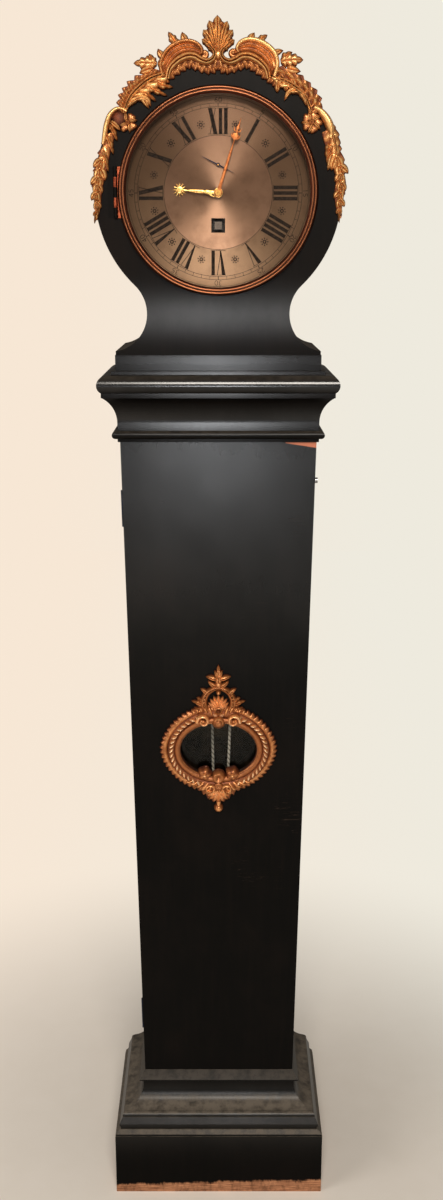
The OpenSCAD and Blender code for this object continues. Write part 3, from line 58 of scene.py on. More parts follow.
tipped_down = 15.6
camera.rotation_euler = (math.radians(90 - tipped_down), 0, 0)
bpy.context.scene.collection.objects.link(camera)
bpy.context.scene.camera = camera
bpy.context.scene.view_settings.view_transform = "Standard"


# Studio
# A pale floor in a pale room, one broad soft lamp high in front, a weaker one
# on the left and a small one low in front. The room is dim in reflections.
def linear(red, green, blue):
    """A colour given in 0 to 255, as a screen shows it, turned into light values: the sRGB curve."""
    values = np.array([red, green, blue]) / 255
    curve = np.where(values > 0.04045, ((values + 0.055) / 1.055) ** 2.4, values / 12.92)
    return (*curve, 1.0)


def add(tree, kind, sockets=None, **options):
    """One more node in a tree. A socket is given a value, or the output that is linked to it."""
    made = tree.nodes.new(kind)
    for name, value in options.items():
        setattr(made, name, value)
    for name, value in (sockets or {}).items():
        if isinstance(value, bpy.types.NodeSocket):
            tree.links.new(value, made.inputs[name])
        else:
            made.inputs[name].default_value = value
    return made


def stretched(tree, scale, place=(0, 0, 0)):
    """The piece's own coordinates about a place, each direction scaled by its own amount."""
    place_on = add(tree, "ShaderNodeTexCoord").outputs["Object"]
    moved = add(tree, "ShaderNodeVectorMath", {0: place_on, 1: place}, operation="SUBTRACT")
    return add(tree, "ShaderNodeVectorMath", {0: moved.outputs[0], 1: scale}, operation="MULTIPLY").outputs[0]


def noise_on(tree, vector, detail, rough):
    """Noise of one unit's size on given coordinates, from 0 to 1."""
    return add(tree, "ShaderNodeTexNoise", {
        "Vector": vector, "Scale": 1.0, "Detail": detail, "Roughness": rough}).outputs["Fac"]


def noise(tree, scale, detail=4.0, rough=0.55, place=(0, 0, 0)):
    """Noise from 0 to 1 on the piece's own coordinates about a place, finer the larger the scale."""
    return noise_on(tree, stretched(tree, scale, place), detail, rough)


def step(tree, value, low, high, to_low=0.0, to_high=1.0):
    """A value carried smoothly from one range to another and held beyond it."""
    return add(tree, "ShaderNodeMapRange", {
        "Value": value, "From Min": low, "From Max": high, "To Min": to_low, "To Max": to_high},
        interpolation_type="SMOOTHSTEP").outputs["Result"]


def blended(tree, factor, first, second):
    """The first colour at 0 and the second at 1."""
    return add(tree, "ShaderNodeMix", {"Factor": factor, "A": first, "B": second},
               data_type="RGBA").outputs["Result"]


def maths(tree, first, second, operation="MULTIPLY"):
    """Two values joined by an arithmetic operation."""
    return add(tree, "ShaderNodeMath", {0: first, 1: second}, operation=operation).outputs[0]


def one_of(tree, vector, axis):
    """One of the three numbers of a vector."""
    return add(tree, "ShaderNodeSeparateXYZ", {0: vector}).outputs[axis]


def own(tree, axis, kind="Object"):
    """One number of a point's own place, or of another of its coordinates, such as its normal."""
    return one_of(tree, add(tree, "ShaderNodeTexCoord").outputs[kind], axis)


def length_of(tree, vector):
    """The length of a vector."""
    return add(tree, "ShaderNodeVectorMath", {0: vector}, operation="LENGTH").outputs["Value"]


def finish(name, metallic=0.0, roughness=0.5):
    """A new material, its node tree and its Principled shader."""
    made = bpy.data.materials.new(name)
    made.use_nodes = True
    shader = made.node_tree.nodes["Principled BSDF"]
    shader.inputs["Metallic"].default_value = metallic
    shader.inputs["Roughness"].default_value = roughness
    return made, made.node_tree, shader


def feed(tree, shader, outputs):
    """Links each named socket of a shader to the output that feeds it."""
    for name, output in outputs.items():
        tree.links.new(output, shader.inputs[name])


def built(name, points, faces, material):
    """An object of one mesh, from points in metres and the faces between them, with one material."""
    mesh = bpy.data.meshes.new(name)
    mesh.from_pydata(np.asarray(points, float).tolist(), [], faces)
    mesh.materials.append(material)
    made = bpy.data.objects.new(name, mesh)
    bpy.context.scene.collection.objects.link(made)
    return made


warm_wall = linear(247, 231, 213)
cool_wall = linear(238, 234, 222)
world = bpy.data.worlds.new("room")
bpy.context.scene.world = world
world.use_nodes = True
room = world.node_tree
room.nodes.clear()
path = add(room, "ShaderNodeLightPath")
seen = maths(room, path.outputs["Is Camera Ray"], path.outputs["Is Transmission Ray"], "MAXIMUM")
lit = add(room, "ShaderNodeBackground", {"Color": linear(232, 226, 218), "Strength": 0.22})
sideways = own(room, "X", "Generated")
wall = blended(room, step(room, sideways, -0.16, 0.16), warm_wall, cool_wall)
shown = add(room, "ShaderNodeBackground", {"Color": wall, "Strength": 1.0})
both = add(room, "ShaderNodeMixShader", {0: seen, 1: lit.outputs[0], 2: shown.outputs[0]})
add(room, "ShaderNodeOutputWorld", {"Surface": both.outputs[0]})


def lamp(name, place, aim, size, watts, colour):
    """A soft square lamp at a place, turned so that it shines at a point."""
    data = bpy.data.lights.new(name, "AREA")
    data.size = size
    data.energy = watts
    data.color = colour
    made = bpy.data.objects.new(name, data)
    made.location = place
    towards = np.array(aim) - np.array(place)
    made.rotation_euler = (math.atan2(math.hypot(towards[0], towards[1]), -towards[2]), 0,
                           math.atan2(towards[0], -towards[1]) + math.pi)
    bpy.context.scene.collection.objects.link(made)


lamp("lamp_front", (0.1, -2.4, 2.75), (0, 0, 1.35), 0.9, 66, (1.0, 0.93, 0.84))
lamp("lamp_left", (-2.3, -1.6, 1.9), (0, 0, 1.0), 1.4, 24, (1.0, 0.95, 0.90))
lamp("lamp_low", (-0.02, -2.5, 1.16), (0, 0, 1.3), 0.32, 9, (0.95, 0.97, 1.0))

floor_paint, floor_tree, floor_shader = finish("floor", roughness=0.7)
half = 5
floor_corners = [(-half, -half, 0), (half, -half, 0), (half, half, 0), (-half, half, 0)]
floor = built("floor", floor_corners, [(0, 1, 2, 3)], floor_paint)
floor_place = stretched(floor_tree, (1, 1, 0), (0, -0.1, 0))
floor_cloud = noise(floor_tree, (14, 14, 14))
floor_tone = blended(floor_tree, floor_cloud, linear(236, 227, 215), linear(244, 236, 226))
floor_tree.links.new(floor_tone, floor_shader.inputs["Base Color"])
ray = add(floor_tree, "ShaderNodeLightPath")
shown_to = maths(floor_tree, ray.outputs["Is Camera Ray"], ray.outputs["Is Glossy Ray"], "MAXIMUM")
shown_to = maths(floor_tree, shown_to, ray.outputs["Is Transmission Ray"], "MAXIMUM")
far = maths(floor_tree, step(floor_tree, length_of(floor_tree, floor_place), 0.25, 1.3), shown_to)
floor_side = step(floor_tree, one_of(floor_tree, floor_place, "X"), -0.9, 0.9)
floor_wall = blended(floor_tree, floor_side, warm_wall, cool_wall)
glow = add(floor_tree, "ShaderNodeEmission", {"Color": floor_wall, "Strength": 1.0})
merged = add(floor_tree, "ShaderNodeMixShader", {0: far, 1: floor_shader.outputs[0], 2: glow.outputs[0]})
floor_tree.links.new(merged.outputs[0], floor_tree.nodes["Material Output"].inputs["Surface"])


# Case of ebonised wood
# Pine boards stained black, waxed and rubbed: brown where the stain is thin,
# glossier in bands by height, dusty on ledges and worn bare along the floor.
def raised(tree, height, distance, strength=1.0):
    """A normal bumped by a height from 0 to 1, where 1 stands for a distance in metres."""
    return add(tree, "ShaderNodeBump", {
        "Height": height, "Distance": distance, "Strength": strength}).outputs["Normal"]


def near(tree, value, middle, tight, loose):
    """1 where a value lies within a tight distance of a middle, falling smoothly to 0 at a loose one."""
    off = maths(tree, maths(tree, value, middle, "SUBTRACT"), 0.0, "ABSOLUTE")
    return step(tree, off, tight, loose, 1.0, 0.0)


def rubbed_foot(tree, colour, rough):
    """The colour and the roughness of wood worn bare from the floor up to a ragged edge, which climbs to
    the right."""
    brush = noise(tree, (34, 34, 6), 3.0, 0.7, place=(0.02, 0, 0))
    ragged = noise(tree, (110, 110, 60), 5.0, 0.7)
    climb = step(tree, own(tree, "X"), -0.19, 0.19, 0.0125, 0.020)
    edge = maths(tree, climb, maths(tree, brush, 0.012), "ADD")
    edge = maths(tree, edge, maths(tree, ragged, 0.014), "ADD")
    bare = step(tree, maths(tree, own(tree, "Z"), edge, "SUBTRACT"), -0.012, -0.006, 1.0, 0.0)
    splinter = noise(tree, (30, 30, 600), 4.0, 0.7)
    raw = blended(tree, step(tree, splinter, 0.3, 0.7), linear(124, 80, 56), linear(200, 142, 104))
    colour = blended(tree, maths(tree, bare, step(tree, ragged, 0.3, 0.6, 0.5, 1.0)), colour, raw)
    return colour, maths(tree, rough, maths(tree, bare, 0.3), "ADD")


def chipped_corner(tree, colour, coat):
    """The colour and the coat of the trunk's front where a wedge of stain is gone under the cornice, at the
    right."""
    across = own(tree, "X")
    slope = maths(tree, maths(tree, across, 0.1066, "SUBTRACT"), 0.155)
    within = step(tree, maths(tree, own(tree, "Z"), slope, "ADD"), 1.3747, 1.3753)
    within = maths(tree, within, step(tree, own(tree, "Y", "Normal"), -0.9, -0.8, 1.0, 0.0))
    within = maths(tree, within, step(tree, across, 0.106, 0.107))
    colour = blended(tree, maths(tree, within, 0.8), colour, linear(196, 120, 92))
    return colour, maths(tree, coat, step(tree, within, 0.0, 1.0, 1.0, 0.2))


def ebonised(name, dark, brown, shine, dusty=0.4, foot=False, gloss=0.30, chipped=False):
    """Black stained wood between two colours: fine grain, a few short cracks and dust on what faces up. Its
    coat of wax comes in soft bands, each given by its height, its spread and its weight: a half to the
    power of the square of the distance over the spread."""
    made, tree, shader = finish(name)
    shader.inputs["Specular IOR Level"].default_value = 0.05
    shader.inputs["Coat Roughness"].default_value = gloss
    level = own(tree, "Z")
    fibre = noise(tree, (150, 150, 9), 5.0, 0.65)
    cloud = noise(tree, (9, 9, 7), 5.0, 0.6)
    colour = blended(tree, step(tree, fibre, 0.40, 0.85, 0.0, 0.55), dark, brown)
    colour = blended(tree, step(tree, cloud, 0.45, 0.75, 0.0, 0.6), colour, brown)
    lines = noise(tree, (7, 7, 150), 2.0, 0.5, place=(0.05, 0, 0.3))
    patch = step(tree, noise(tree, (8, 8, 6), 2.0, place=(0.3, 0, 0.2)), 0.66, 0.72)
    crack = maths(tree, near(tree, lines, 0.5, 0.0, 0.007), patch)
    colour = blended(tree, maths(tree, crack, 0.2), colour, linear(96, 78, 66))
    up = own(tree, "Z", "Normal")
    speck = noise(tree, (60, 60, 60), 6.0, 0.7)
    dust = maths(tree, step(tree, up, 0.30, 0.95), step(tree, speck, 0.30, 0.62, 0.30, 1.0))
    colour = blended(tree, maths(tree, dust, dusty), colour, linear(118, 108, 96))
    rough = maths(tree, step(tree, cloud, 0.3, 0.7, 0.42, 0.56), maths(tree, dust, 0.3), "ADD")
    coat = 0.03
    for height, spread, weight in shine:
        off = maths(tree, maths(tree, maths(tree, level, height, "SUBTRACT"), spread, "DIVIDE"), 2.0, "POWER")
        coat = maths(tree, maths(tree, maths(tree, 0.5, off, "POWER"), weight), coat, "ADD")
    coat = maths(tree, coat, step(tree, cloud, 0.30, 0.62, 0.72, 1.0))
    coat = maths(tree, coat, step(tree, dust, 0.0, 1.0, 1.0, 0.2))
    relief = maths(tree, maths(tree, fibre, 0.12), crack, "SUBTRACT")
    if foot:
        colour, rough = rubbed_foot(tree, colour, rough)
    if chipped:
        colour, coat = chipped_corner(tree, colour, coat)
    feed(tree, shader, {"Base Color": colour, "Roughness": rough, "Coat Weight": coat,
                        "Normal": raised(tree, relief, 0.0003)})
    return made


def dress(material, *names):
    """Gives CAD nodes their material."""
    for name in names:
        node[name].data.materials.clear()
        node[name].data.materials.append(material)


trunk_shine = [(1.25, 0.15, 0.72)]
cornice_shine = [(1.472, 0.012, 1.0), (1.505, 0.01, 0.55), (1.411, 0.014, 0.70)]
hood_shine = [(1.575, 0.024, 0.9)]
foot_shine = [(0.155, 0.04, 0.62)]
dress(ebonised("black_wood_trunk", linear(7, 6, 5), linear(18, 13, 10), trunk_shine, gloss=0.24,
               chipped=True),
      "trunk_door", "trunk_side_left", "trunk_side_right")
dress(ebonised("black_wood_cornice", linear(6, 4, 3), linear(16, 11, 8), cornice_shine, dusty=0.2,
               gloss=0.19),
      "cornice", "hood_foot")
dress(ebonised("black_wood_hood", linear(9, 6, 4), linear(20, 13, 9), hood_shine), "hood_front", "hood_band")
dress(ebonised("black_wood_foot", linear(5, 4, 3), linear(14, 10, 7), foot_shine, dusty=0.75, foot=True),
      "plinth", "base_moulding")


# Boards inside the case
# Unstained pine behind and under the case, and the cheeks and seatboard
# that carry the movement: yellow-brown, with long dark grain.
def pine(name, along):
    """Pine with its growth rings as long stripes along one direction, darker with age."""
    made, tree, shader = finish(name, roughness=0.62)
    scale = [70.0, 70.0, 70.0]
    scale["xyz".index(along)] = 2.2
    grain = noise(tree, scale, 3.0, 0.5)
    rings = maths(tree, maths(tree, grain, 7.0), 1.0, "PINGPONG")
    pores = noise(tree, [value * 6 for value in scale], 3.0, 0.6)
    colour = blended(tree, rings, linear(142, 104, 66), linear(112, 76, 44))
    colour = blended(tree, step(tree, pores, 0.45, 0.8, 0.0, 0.5), colour, linear(80, 52, 32))
    feed(tree, shader, {"Base Color": colour, "Normal": raised(tree, rings, 0.0002)})
    return made


dress(pine("pine_upright", "z"), "backboard", "cheek_left", "cheek_right")
dress(pine("pine_level", "x"), "bottom_board", "seatboard")


# Brass, steel and blued steel of the movement
# Plates, wheels, cock, pulley and weight of cast or rolled brass gone brown in
# patches. Rod, pallets, click and bolts are polished steel, and screws are blued.
great_arbor_height = 1.7047


def winding_end(tree, shader, colour):
    """The colour of a metal that shows through the dial's winding hole: painted shade and dirt darken it
    round the end of a steel square. Neither is metallic here."""
    from_arbor = stretched(tree, (1, 1, 1), (0, 0, great_arbor_height))
    across, up = (maths(tree, one_of(tree, from_arbor, axis), 0.0, "ABSOLUTE") for axis in "XZ")
    off = maths(tree, across, up, "MAXIMUM")
    front = step(tree, one_of(tree, from_arbor, "Y"), -0.034, -0.030, 1.0, 0.0)
    # Painted shade and dirt: the metal is dark inside the winding hole.
    hole = maths(tree, step(tree, off, 0.016, 0.018, 1.0, 0.0), front)
    end = maths(tree, step(tree, off, 0.0052, 0.0056, 1.0, 0.0), hole)
    feed(tree, shader, {"Metallic": maths(tree, 1.0, hole, "SUBTRACT")})
    return blended(tree, end, blended(tree, hole, colour, linear(34, 24, 17)), linear(112, 100, 92))


def metal(name, bright, dull, roughness, scale=70.0, square=False):
    """A metal with a tarnish that comes in clouds, and fine rubbing that changes its gloss."""
    made, tree, shader = finish(name, metallic=1.0, roughness=roughness)
    cloud = noise(tree, (scale, scale, scale), 5.0, 0.6)
    rub = noise(tree, (900, 900, 900), 2.0)
    colour = blended(tree, step(tree, cloud, 0.35, 0.7), bright, dull)
    if square:
        colour = winding_end(tree, shader, colour)
    feed(tree, shader, {"Base Color": colour,
                        "Roughness": step(tree, rub, 0.3, 0.7, roughness - 0.06, roughness + 0.08)})
    return made


brass_tones = (linear(206, 162, 90), linear(156, 112, 56))
brass = metal("brass", *brass_tones, 0.30)
train_brass = metal("train_brass", *brass_tones, 0.30, square=True)
steel = metal("steel", linear(168, 168, 170), linear(120, 116, 112), 0.28)
blued = metal("blued_steel", linear(38, 44, 66), linear(24, 26, 38), 0.30)
dress(train_brass, "front_plate", "barrel", "great_wheel")
dress(brass, "back_plate", "plate_pillars", "pendulum_cock",
      "centre_wheel", "hand_collet", "minute_wheel", "hour_wheel",
      "third_wheel", "escape_wheel", "pulley", "weight")
# The bob and its nut: brass darkened far below the rest, as tarnish and as painted shade of the closed trunk.
dress(metal("shaded_old_brass", linear(66, 56, 42), linear(38, 33, 25), 0.5), "pendulum_bob", "rating_nut")
dress(steel, "seat_bolts", "click", "cannon_pinion", "pallets", "suspension_spring", "pendulum_rod",
      "catch_knob")
dress(blued, "pillar_screws", "trunk_hinge_leaves", "door_hinge_leaves")


# Dial plate
# Brass silvered and turned in fine rings, gone brown in stains, so that a light above
# draws a bright streak across it from top to bottom. Painted shade darkens its
# upper half and its rim under the bezel.
dial_centre = (0, 0, 1.7515)
dial_metal, dial_tree, dial_shader = finish("silvered_dial", metallic=0.65, roughness=0.38)
dial_shader.inputs["Anisotropic"].default_value = 0.92
from_centre = stretched(dial_tree, (1, 0, 1), dial_centre)
outward = add(dial_tree, "ShaderNodeVectorMath", {0: from_centre}, operation="NORMALIZE").outputs[0]
radius = length_of(dial_tree, from_centre)
rings = add(dial_tree, "ShaderNodeCombineXYZ", {"X": maths(dial_tree, radius, 1500.0)}).outputs[0]
turned = noise_on(dial_tree, rings, 3.0, 0.7)
stain = noise(dial_tree, (30, 1, 30), 6.0, 0.65)
chapter = step(dial_tree, radius, 0.0815, 0.0830)
silver = blended(dial_tree, chapter, linear(152, 118, 96), linear(134, 107, 84))
above = one_of(dial_tree, from_centre, "Z")
# Painted shade: darker above the centre and towards the rim under the bezel.
silver = blended(dial_tree, step(dial_tree, above, -0.07, 0.12, 0.0, 0.85), silver, linear(80, 55, 38))
silver = blended(dial_tree, step(dial_tree, radius, 0.118, 0.140, 0.0, 0.4), silver, linear(98, 74, 54))
silver = blended(dial_tree, step(dial_tree, stain, 0.42, 0.72, 0.0, 0.45), silver, linear(92, 66, 48))
feed(dial_tree, dial_shader, {"Tangent": outward, "Base Color": silver,
                              "Roughness": step(dial_tree, turned, 0.3, 0.7, 0.36, 0.46),
                              "Normal": raised(dial_tree, turned, 0.00003)})
dress(dial_metal, "dial_plate")


# Engraving of the dial
# Twelve Roman numerals, rings, minute strokes, stars at the half hours and
# plain figures for the minutes, all cut in the plate and filled with dark wax.
MM = 0.001
dial_face = -62.0
wax_front = dial_face - 0.12


def prism(outline):
    """A thin plate of wax on the dial's face, over an outline in millimetres about the dial's centre."""
    outline = np.asarray(outline, float)
    area = np.sum(outline[:, 0] * np.roll(outline[:, 1], -1) - np.roll(outline[:, 0], -1) * outline[:, 1])
    if area < 0:
        outline = outline[::-1]
    count = len(outline)
    points = np.zeros((2, count, 3))
    points[:, :, 0] = outline[:, 0]
    points[:, :, 2] = outline[:, 1]
    points[0, :, 1] = dial_face
    points[1, :, 1] = wax_front
    faces = [[k, (k + 1) % count, count + (k + 1) % count, count + k] for k in range(count)]
    faces += [list(range(count - 1, -1, -1)), list(range(count, 2 * count))]
    return points.reshape(-1, 3), faces


def placed(turn, outline):
    """An outline drawn upright, turned clockwise about the dial's centre in degrees: x across and z
    outward."""
    sine, cosine = math.sin(math.radians(turn)), math.cos(math.radians(turn))
    return [(x * cosine + z * sine, z * cosine - x * sine) for x, z in outline]


def bar(x0, z0, x1, z1, wide0, wide1=None):
    """An outline along a line between two points, with its width at each end."""
    wide1 = wide0 if wide1 is None else wide1
    length = math.hypot(x1 - x0, z1 - z0)
    nx, nz = (z1 - z0) / length / 2, -(x1 - x0) / length / 2
    return [(x0 + nx * wide0, z0 + nz * wide0), (x1 + nx * wide1, z1 + nz * wide1),
            (x1 - nx * wide1, z1 - nz * wide1), (x0 - nx * wide0, z0 - nz * wide0)]


marks = []
low, high = 83.5, 119.5
thin, stem, thick = 0.9, 5.2, 5.8
star_height, dot_size = 99.7, 1.1
letters = {"I": 8.0, "V": 15.5, "X": 15.0}
numerals = ["XII", "I", "II", "III", "IIII", "V", "VI", "VII", "VIII", "IX", "X", "XI"]
for hour, numeral in enumerate(numerals):
    wide = sum(letters[letter] for letter in numeral)
    x = -wide / 2
    for letter in numeral:
        middle = x + letters[letter] / 2
        side = letters[letter] / 2 - 3.4
        if letter == "I":
            strokes = [bar(middle, low, middle, high, stem)]
        elif letter == "V":
            strokes = [bar(middle - side, high, middle + 0.6, low, thick, 1.8),
                       bar(middle + side + 1, high, middle, low, thin)]
        else:
            strokes = [bar(middle - side, high, middle + side, low, thick),
                       bar(middle + side, high, middle - side, low, thin)]
        marks += [prism(placed(hour * 30, outline)) for outline in strokes]
        x += letters[letter]
    marks += [prism(placed(hour * 30, bar(-wide / 2 + 0.4, z, wide / 2 - 0.4, z, 0.7))) for z in (low, high)]
    for point in np.linspace(0, 2 * math.pi, 9)[:-1]:
        for out in (2.2, 5.0):
            x, z = out * math.cos(point), star_height + out * math.sin(point)
            dot = [(x + dot_size * math.cos(a), z + dot_size * math.sin(a))
                   for a in np.linspace(0, 2 * math.pi, 7)[:-1]]
            marks.append(prism(placed(hour * 30 + 15, dot)))
for minute in range(60):
    marks.append(prism(placed(minute * 6, bar(0, 121.9, 0, 126.3, 1.1 if minute % 5 == 0 else 0.6))))
figures = {
    "0": [[(2.2 * math.sin(a), 3.5 + 3.5 * math.cos(a)) for a in np.linspace(0, 2 * math.pi, 17)]],
    "1": [[(0, 0), (0, 7)], [(-1.2, 5.6), (0, 7)]],
    "2": [[(-2, 5.4), (-1, 6.8), (1, 6.8), (2, 5.2), (1.2, 3.4), (-2, 0.2), (2.2, 0.2)]],
    "3": [[(-1.8, 6.4), (0.4, 7), (1.8, 5.6), (0, 3.9), (2, 2.2), (0.6, 0.2), (-2, 0.6)]],
    "4": [[(1, 0), (1, 7), (-2.3, 2), (2.3, 2)]],
    "5": [[(2, 6.8), (-1.6, 6.8), (-1.8, 3.8), (0.6, 4.4), (2.1, 2.4), (0.6, 0.2), (-2, 0.6)]],
    "6": [[(1.6, 6.6), (-1, 5), (-2, 2.4), (-0.6, 0.2), (1.4, 0.6), (2, 2.2), (0.6, 3.8), (-1.6, 3)]],
}
figure_foot, figure_pitch, figure_stroke = 127.8, 6.0, 0.8
for five in range(1, 13):
    text = str(five * 5)
    for k, digit in enumerate(text):
        shift = (k - (len(text) - 1) / 2) * figure_pitch
        for line in figures[digit]:
            spots = [(x + shift, z + figure_foot) for x, z in line]
            for start, stop in zip(spots, spots[1:]):
                marks.append(prism(placed(five * 30, bar(*start, *stop, figure_stroke))))


def ring_of_wax(inner, outer, count=180):
    """A flat closed ring on the dial's face: its section is a rectangle, carried round the centre."""
    turn = np.linspace(0, 2 * math.pi, count, endpoint=False)
    section = [(inner, dial_face), (outer, dial_face), (outer, wax_front), (inner, wax_front)]
    points = np.array([(r * math.sin(a), y, r * math.cos(a)) for a in turn for r, y in section])
    faces = [[i * 4 + j, i * 4 + (j + 1) % 4, (i + 1) % count * 4 + (j + 1) % 4, (i + 1) % count * 4 + j]
             for i in range(count) for j in range(4)]
    return points, faces


def joined(parts):
    """Parts laid in one mesh: their points one after another, and each part's faces counted on from the
    points before it."""
    points, faces, used = [], [], 0
    for its_points, its_faces in parts:
        points.append(its_points)
        faces += [[k + used for k in face] for face in its_faces]
        used += len(its_points)
    return np.concatenate(points), faces


wax_rings = ((81.6, 0.6), (121.3, 0.6), (126.2, 0.6), (136.4, 0.5))
marks += [ring_of_wax(inner, inner + wide) for inner, wide in wax_rings]
wax, wax_tree, wax_shader = finish("wax", roughness=0.6)
wax_shader.inputs["Specular IOR Level"].default_value = 0.1
worn = noise(wax_tree, (300, 300, 300), 3.0)
wax_colour = blended(wax_tree, step(wax_tree, worn, 0.35, 0.75), linear(26, 19, 15), linear(52, 39, 31))
feed(wax_tree, wax_shader, {"Base Color": wax_colour})
mark_points, mark_faces = joined(marks)
dial_marks = built("dial_marks", mark_points * MM + np.array(dial_centre), mark_faces, wax)
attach(dial_marks, "case")


# Bezel
# A turned ring of red brass with two beads, hung on a hinge at the left. The
# beads are lighter, rubbed bright and with a painted highlight along them, and
# the hinge's plate is painted black as the hood.
copper, copper_tree, copper_shader = finish("bezel_copper", metallic=0.9, roughness=0.32)
bezel_radius = length_of(copper_tree, stretched(copper_tree, (1, 0, 1), dial_centre))
inner_bead, outer_bead = (near(copper_tree, bezel_radius, bead, 0.0006, 0.0016) for bead in (0.1415, 0.1458))
# Lighter beads: rubbed bright, and a painted highlight along each.
bead_rub_and_highlight = maths(copper_tree, maths(copper_tree, inner_bead, outer_bead, "MAXIMUM"), 0.65)
tarnish = step(copper_tree, noise(copper_tree, (40, 40, 40), 5.0, 0.6), 0.3, 0.7)
copper_colour = blended(copper_tree, tarnish, linear(84, 42, 27), linear(60, 28, 18))
copper_colour = blended(copper_tree, bead_rub_and_highlight, copper_colour, linear(146, 90, 58))
feed(copper_tree, copper_shader, {"Base Color": copper_colour})
knuckle_copper = metal("knuckle_copper", linear(150, 76, 50), linear(88, 36, 24), 0.42, 160.0)
black_paint, _, paint_shader = finish("black_paint")
paint_shader.inputs["Base Color"].default_value = linear(10, 7, 5)
paint_shader.inputs["Specular IOR Level"].default_value = 0.05
dress(copper, "bezel_ring")
dress(knuckle_copper, "bezel_hinge_leaf")
dress(black_paint, "bezel_hinge_plate")


# Glass of the dial and of the lenticle
# Old flat glass, puttied into the bezel and into the trunk's door, and thin
# enough that it bends nothing that is seen through it.
def pane(name, tint):
    """Clear glass: light passes straight through, and its faces reflect more at a slant."""
    made = bpy.data.materials.new(name)
    made.use_nodes = True
    tree = made.node_tree
    tree.nodes.clear()
    through = add(tree, "ShaderNodeBsdfTransparent", {"Color": tint})
    shine = add(tree, "ShaderNodeBsdfGlossy", {"Color": (1, 1, 1, 1), "Roughness": 0.02})
    slant = add(tree, "ShaderNodeFresnel", {"IOR": 1.45})
    both_ways = add(tree, "ShaderNodeMixShader", {
        0: maths(tree, slant.outputs[0], 0.22), 1: through.outputs[0], 2: shine.outputs[0]})
    add(tree, "ShaderNodeOutputMaterial", {"Surface": both_ways.outputs[0]})
    return made


dress(pane("dial_glass", (0.93, 0.92, 0.90, 1)), "bezel_glass")
dress(pane("lenticle_glass", (0.90, 0.90, 0.88, 1)), "lenticle_glass")


# Carved giltwood
# Lime wood cut in relief, coated with red clay over chalk and gilt with leaf.
# The leaf is rubbed through to the red on high edges. Painted shade darkens it
# where the relief is low, and a painted highlight lightens its highest parts.
def gilt(name, middle, high):
    """Gold leaf whose colour follows the carving's own height, stored on its points: red and brown painted
    shade where it is low, and a painted highlight, near white, where it is highest.
    """
    made, tree, shader = finish(name, metallic=0.55, roughness=0.38)
    height = add(tree, "ShaderNodeAttribute", attribute_name="relief").outputs["Fac"]
    cloud = noise(tree, (110, 110, 110), 5.0, 0.65)
    fine = noise(tree, (420, 420, 420), 4.0, 0.7)
    level = maths(tree, height, maths(tree, maths(tree, cloud, 0.5, "SUBTRACT"), 0.6), "ADD")
    # Painted shade, red and brown, where the relief is low; gold between; painted highlight, near white,
    # where it is highest.
    colour = blended(tree, step(tree, level, 0.05, 0.38), linear(44, 17, 9), linear(110, 54, 26))
    colour = blended(tree, step(tree, level, 0.36, 0.66), colour, middle)
    colour = blended(tree, step(tree, level, 0.70, 0.98), colour, high)
    colour = blended(tree, step(tree, level, 1.10, 1.40), colour, linear(255, 212, 164))
    rubbed = maths(tree, step(tree, cloud, 0.55, 0.68), step(tree, fine, 0.42, 0.62))
    colour = blended(tree, maths(tree, rubbed, 0.7), colour, linear(128, 58, 34))
    feed(tree, shader, {"Base Color": colour, "Roughness": step(tree, level, 0.1, 0.8, 0.60, 0.30),
                        "Normal": raised(tree, fine, 0.0004, 0.6)})
    return made


gilt_wood = gilt("gilt_wood", linear(182, 116, 62), linear(240, 188, 120))


def flow(rows, count):
    """A table's rows blended into more: each stretch is the cubic through its ends, sloped there as the
    line between their neighbours."""
    rows = np.asarray(rows, float)
    wide = np.vstack([2 * rows[0] - rows[1], rows, 2 * rows[-1] - rows[-2]])
    place = np.linspace(0, len(rows) - 1, count)
    start = np.minimum(place.astype(int), len(rows) - 2)
    u = (place - start)[:, None]
    a, b, c, d = (wide[start + k] for k in range(4))
    return 0.5 * (2 * b + (c - a) * u + (2 * a - 5 * b + 4 * c - d) * u ** 2
                  + (3 * b - a - 3 * c + d) * u ** 3)


def woven(rows, columns, round_rows):
    """The four-sided faces of a grid whose columns close on themselves, and whose rows may too."""
    i = np.arange(rows if round_rows else rows - 1)[:, None]
    j = np.arange(columns)
    after = (i + 1) % rows
    beside = (j + 1) % columns
    corners = (i * columns + j, i * columns + beside, after * columns + beside, after * columns + j)
    return np.stack(corners, axis=-1).reshape(-1, 4)


def shell(points, relief, round_rows=False):
    """A closed skin through a grid of points: its columns close on themselves, and its first and last rows
    are capped or joined. Faces are turned over if the volume they enclose comes out negative."""
    rows, columns, _ = points.shape
    flat = points.reshape(-1, 3)
    faces = woven(rows, columns, round_rows).tolist()
    if not round_rows:
        faces.append(list(range(columns - 1, -1, -1)))
        faces.append(list(range((rows - 1) * columns, rows * columns)))
    quads = np.array([face for face in faces if len(face) == 4])
    corner = flat[quads] - flat.mean(0)
    volume = np.einsum("ij,ij->", corner[:, 0], np.cross(corner[:, 1], corner[:, 2]))
    volume += np.einsum("ij,ij->", corner[:, 0], np.cross(corner[:, 2], corner[:, 3]))
    if volume < 0:
        faces = [face[::-1] for face in faces]
    return flat, faces, relief.reshape(-1)


def saw(along, number):
    """Teeth along a path from 0 to 1: each climbs over three quarters of its length and drops over the
    rest."""
    place = along * number % 1
    return np.where(place < 0.75, place / 0.75, (1 - place) / 0.25) ** 0.8


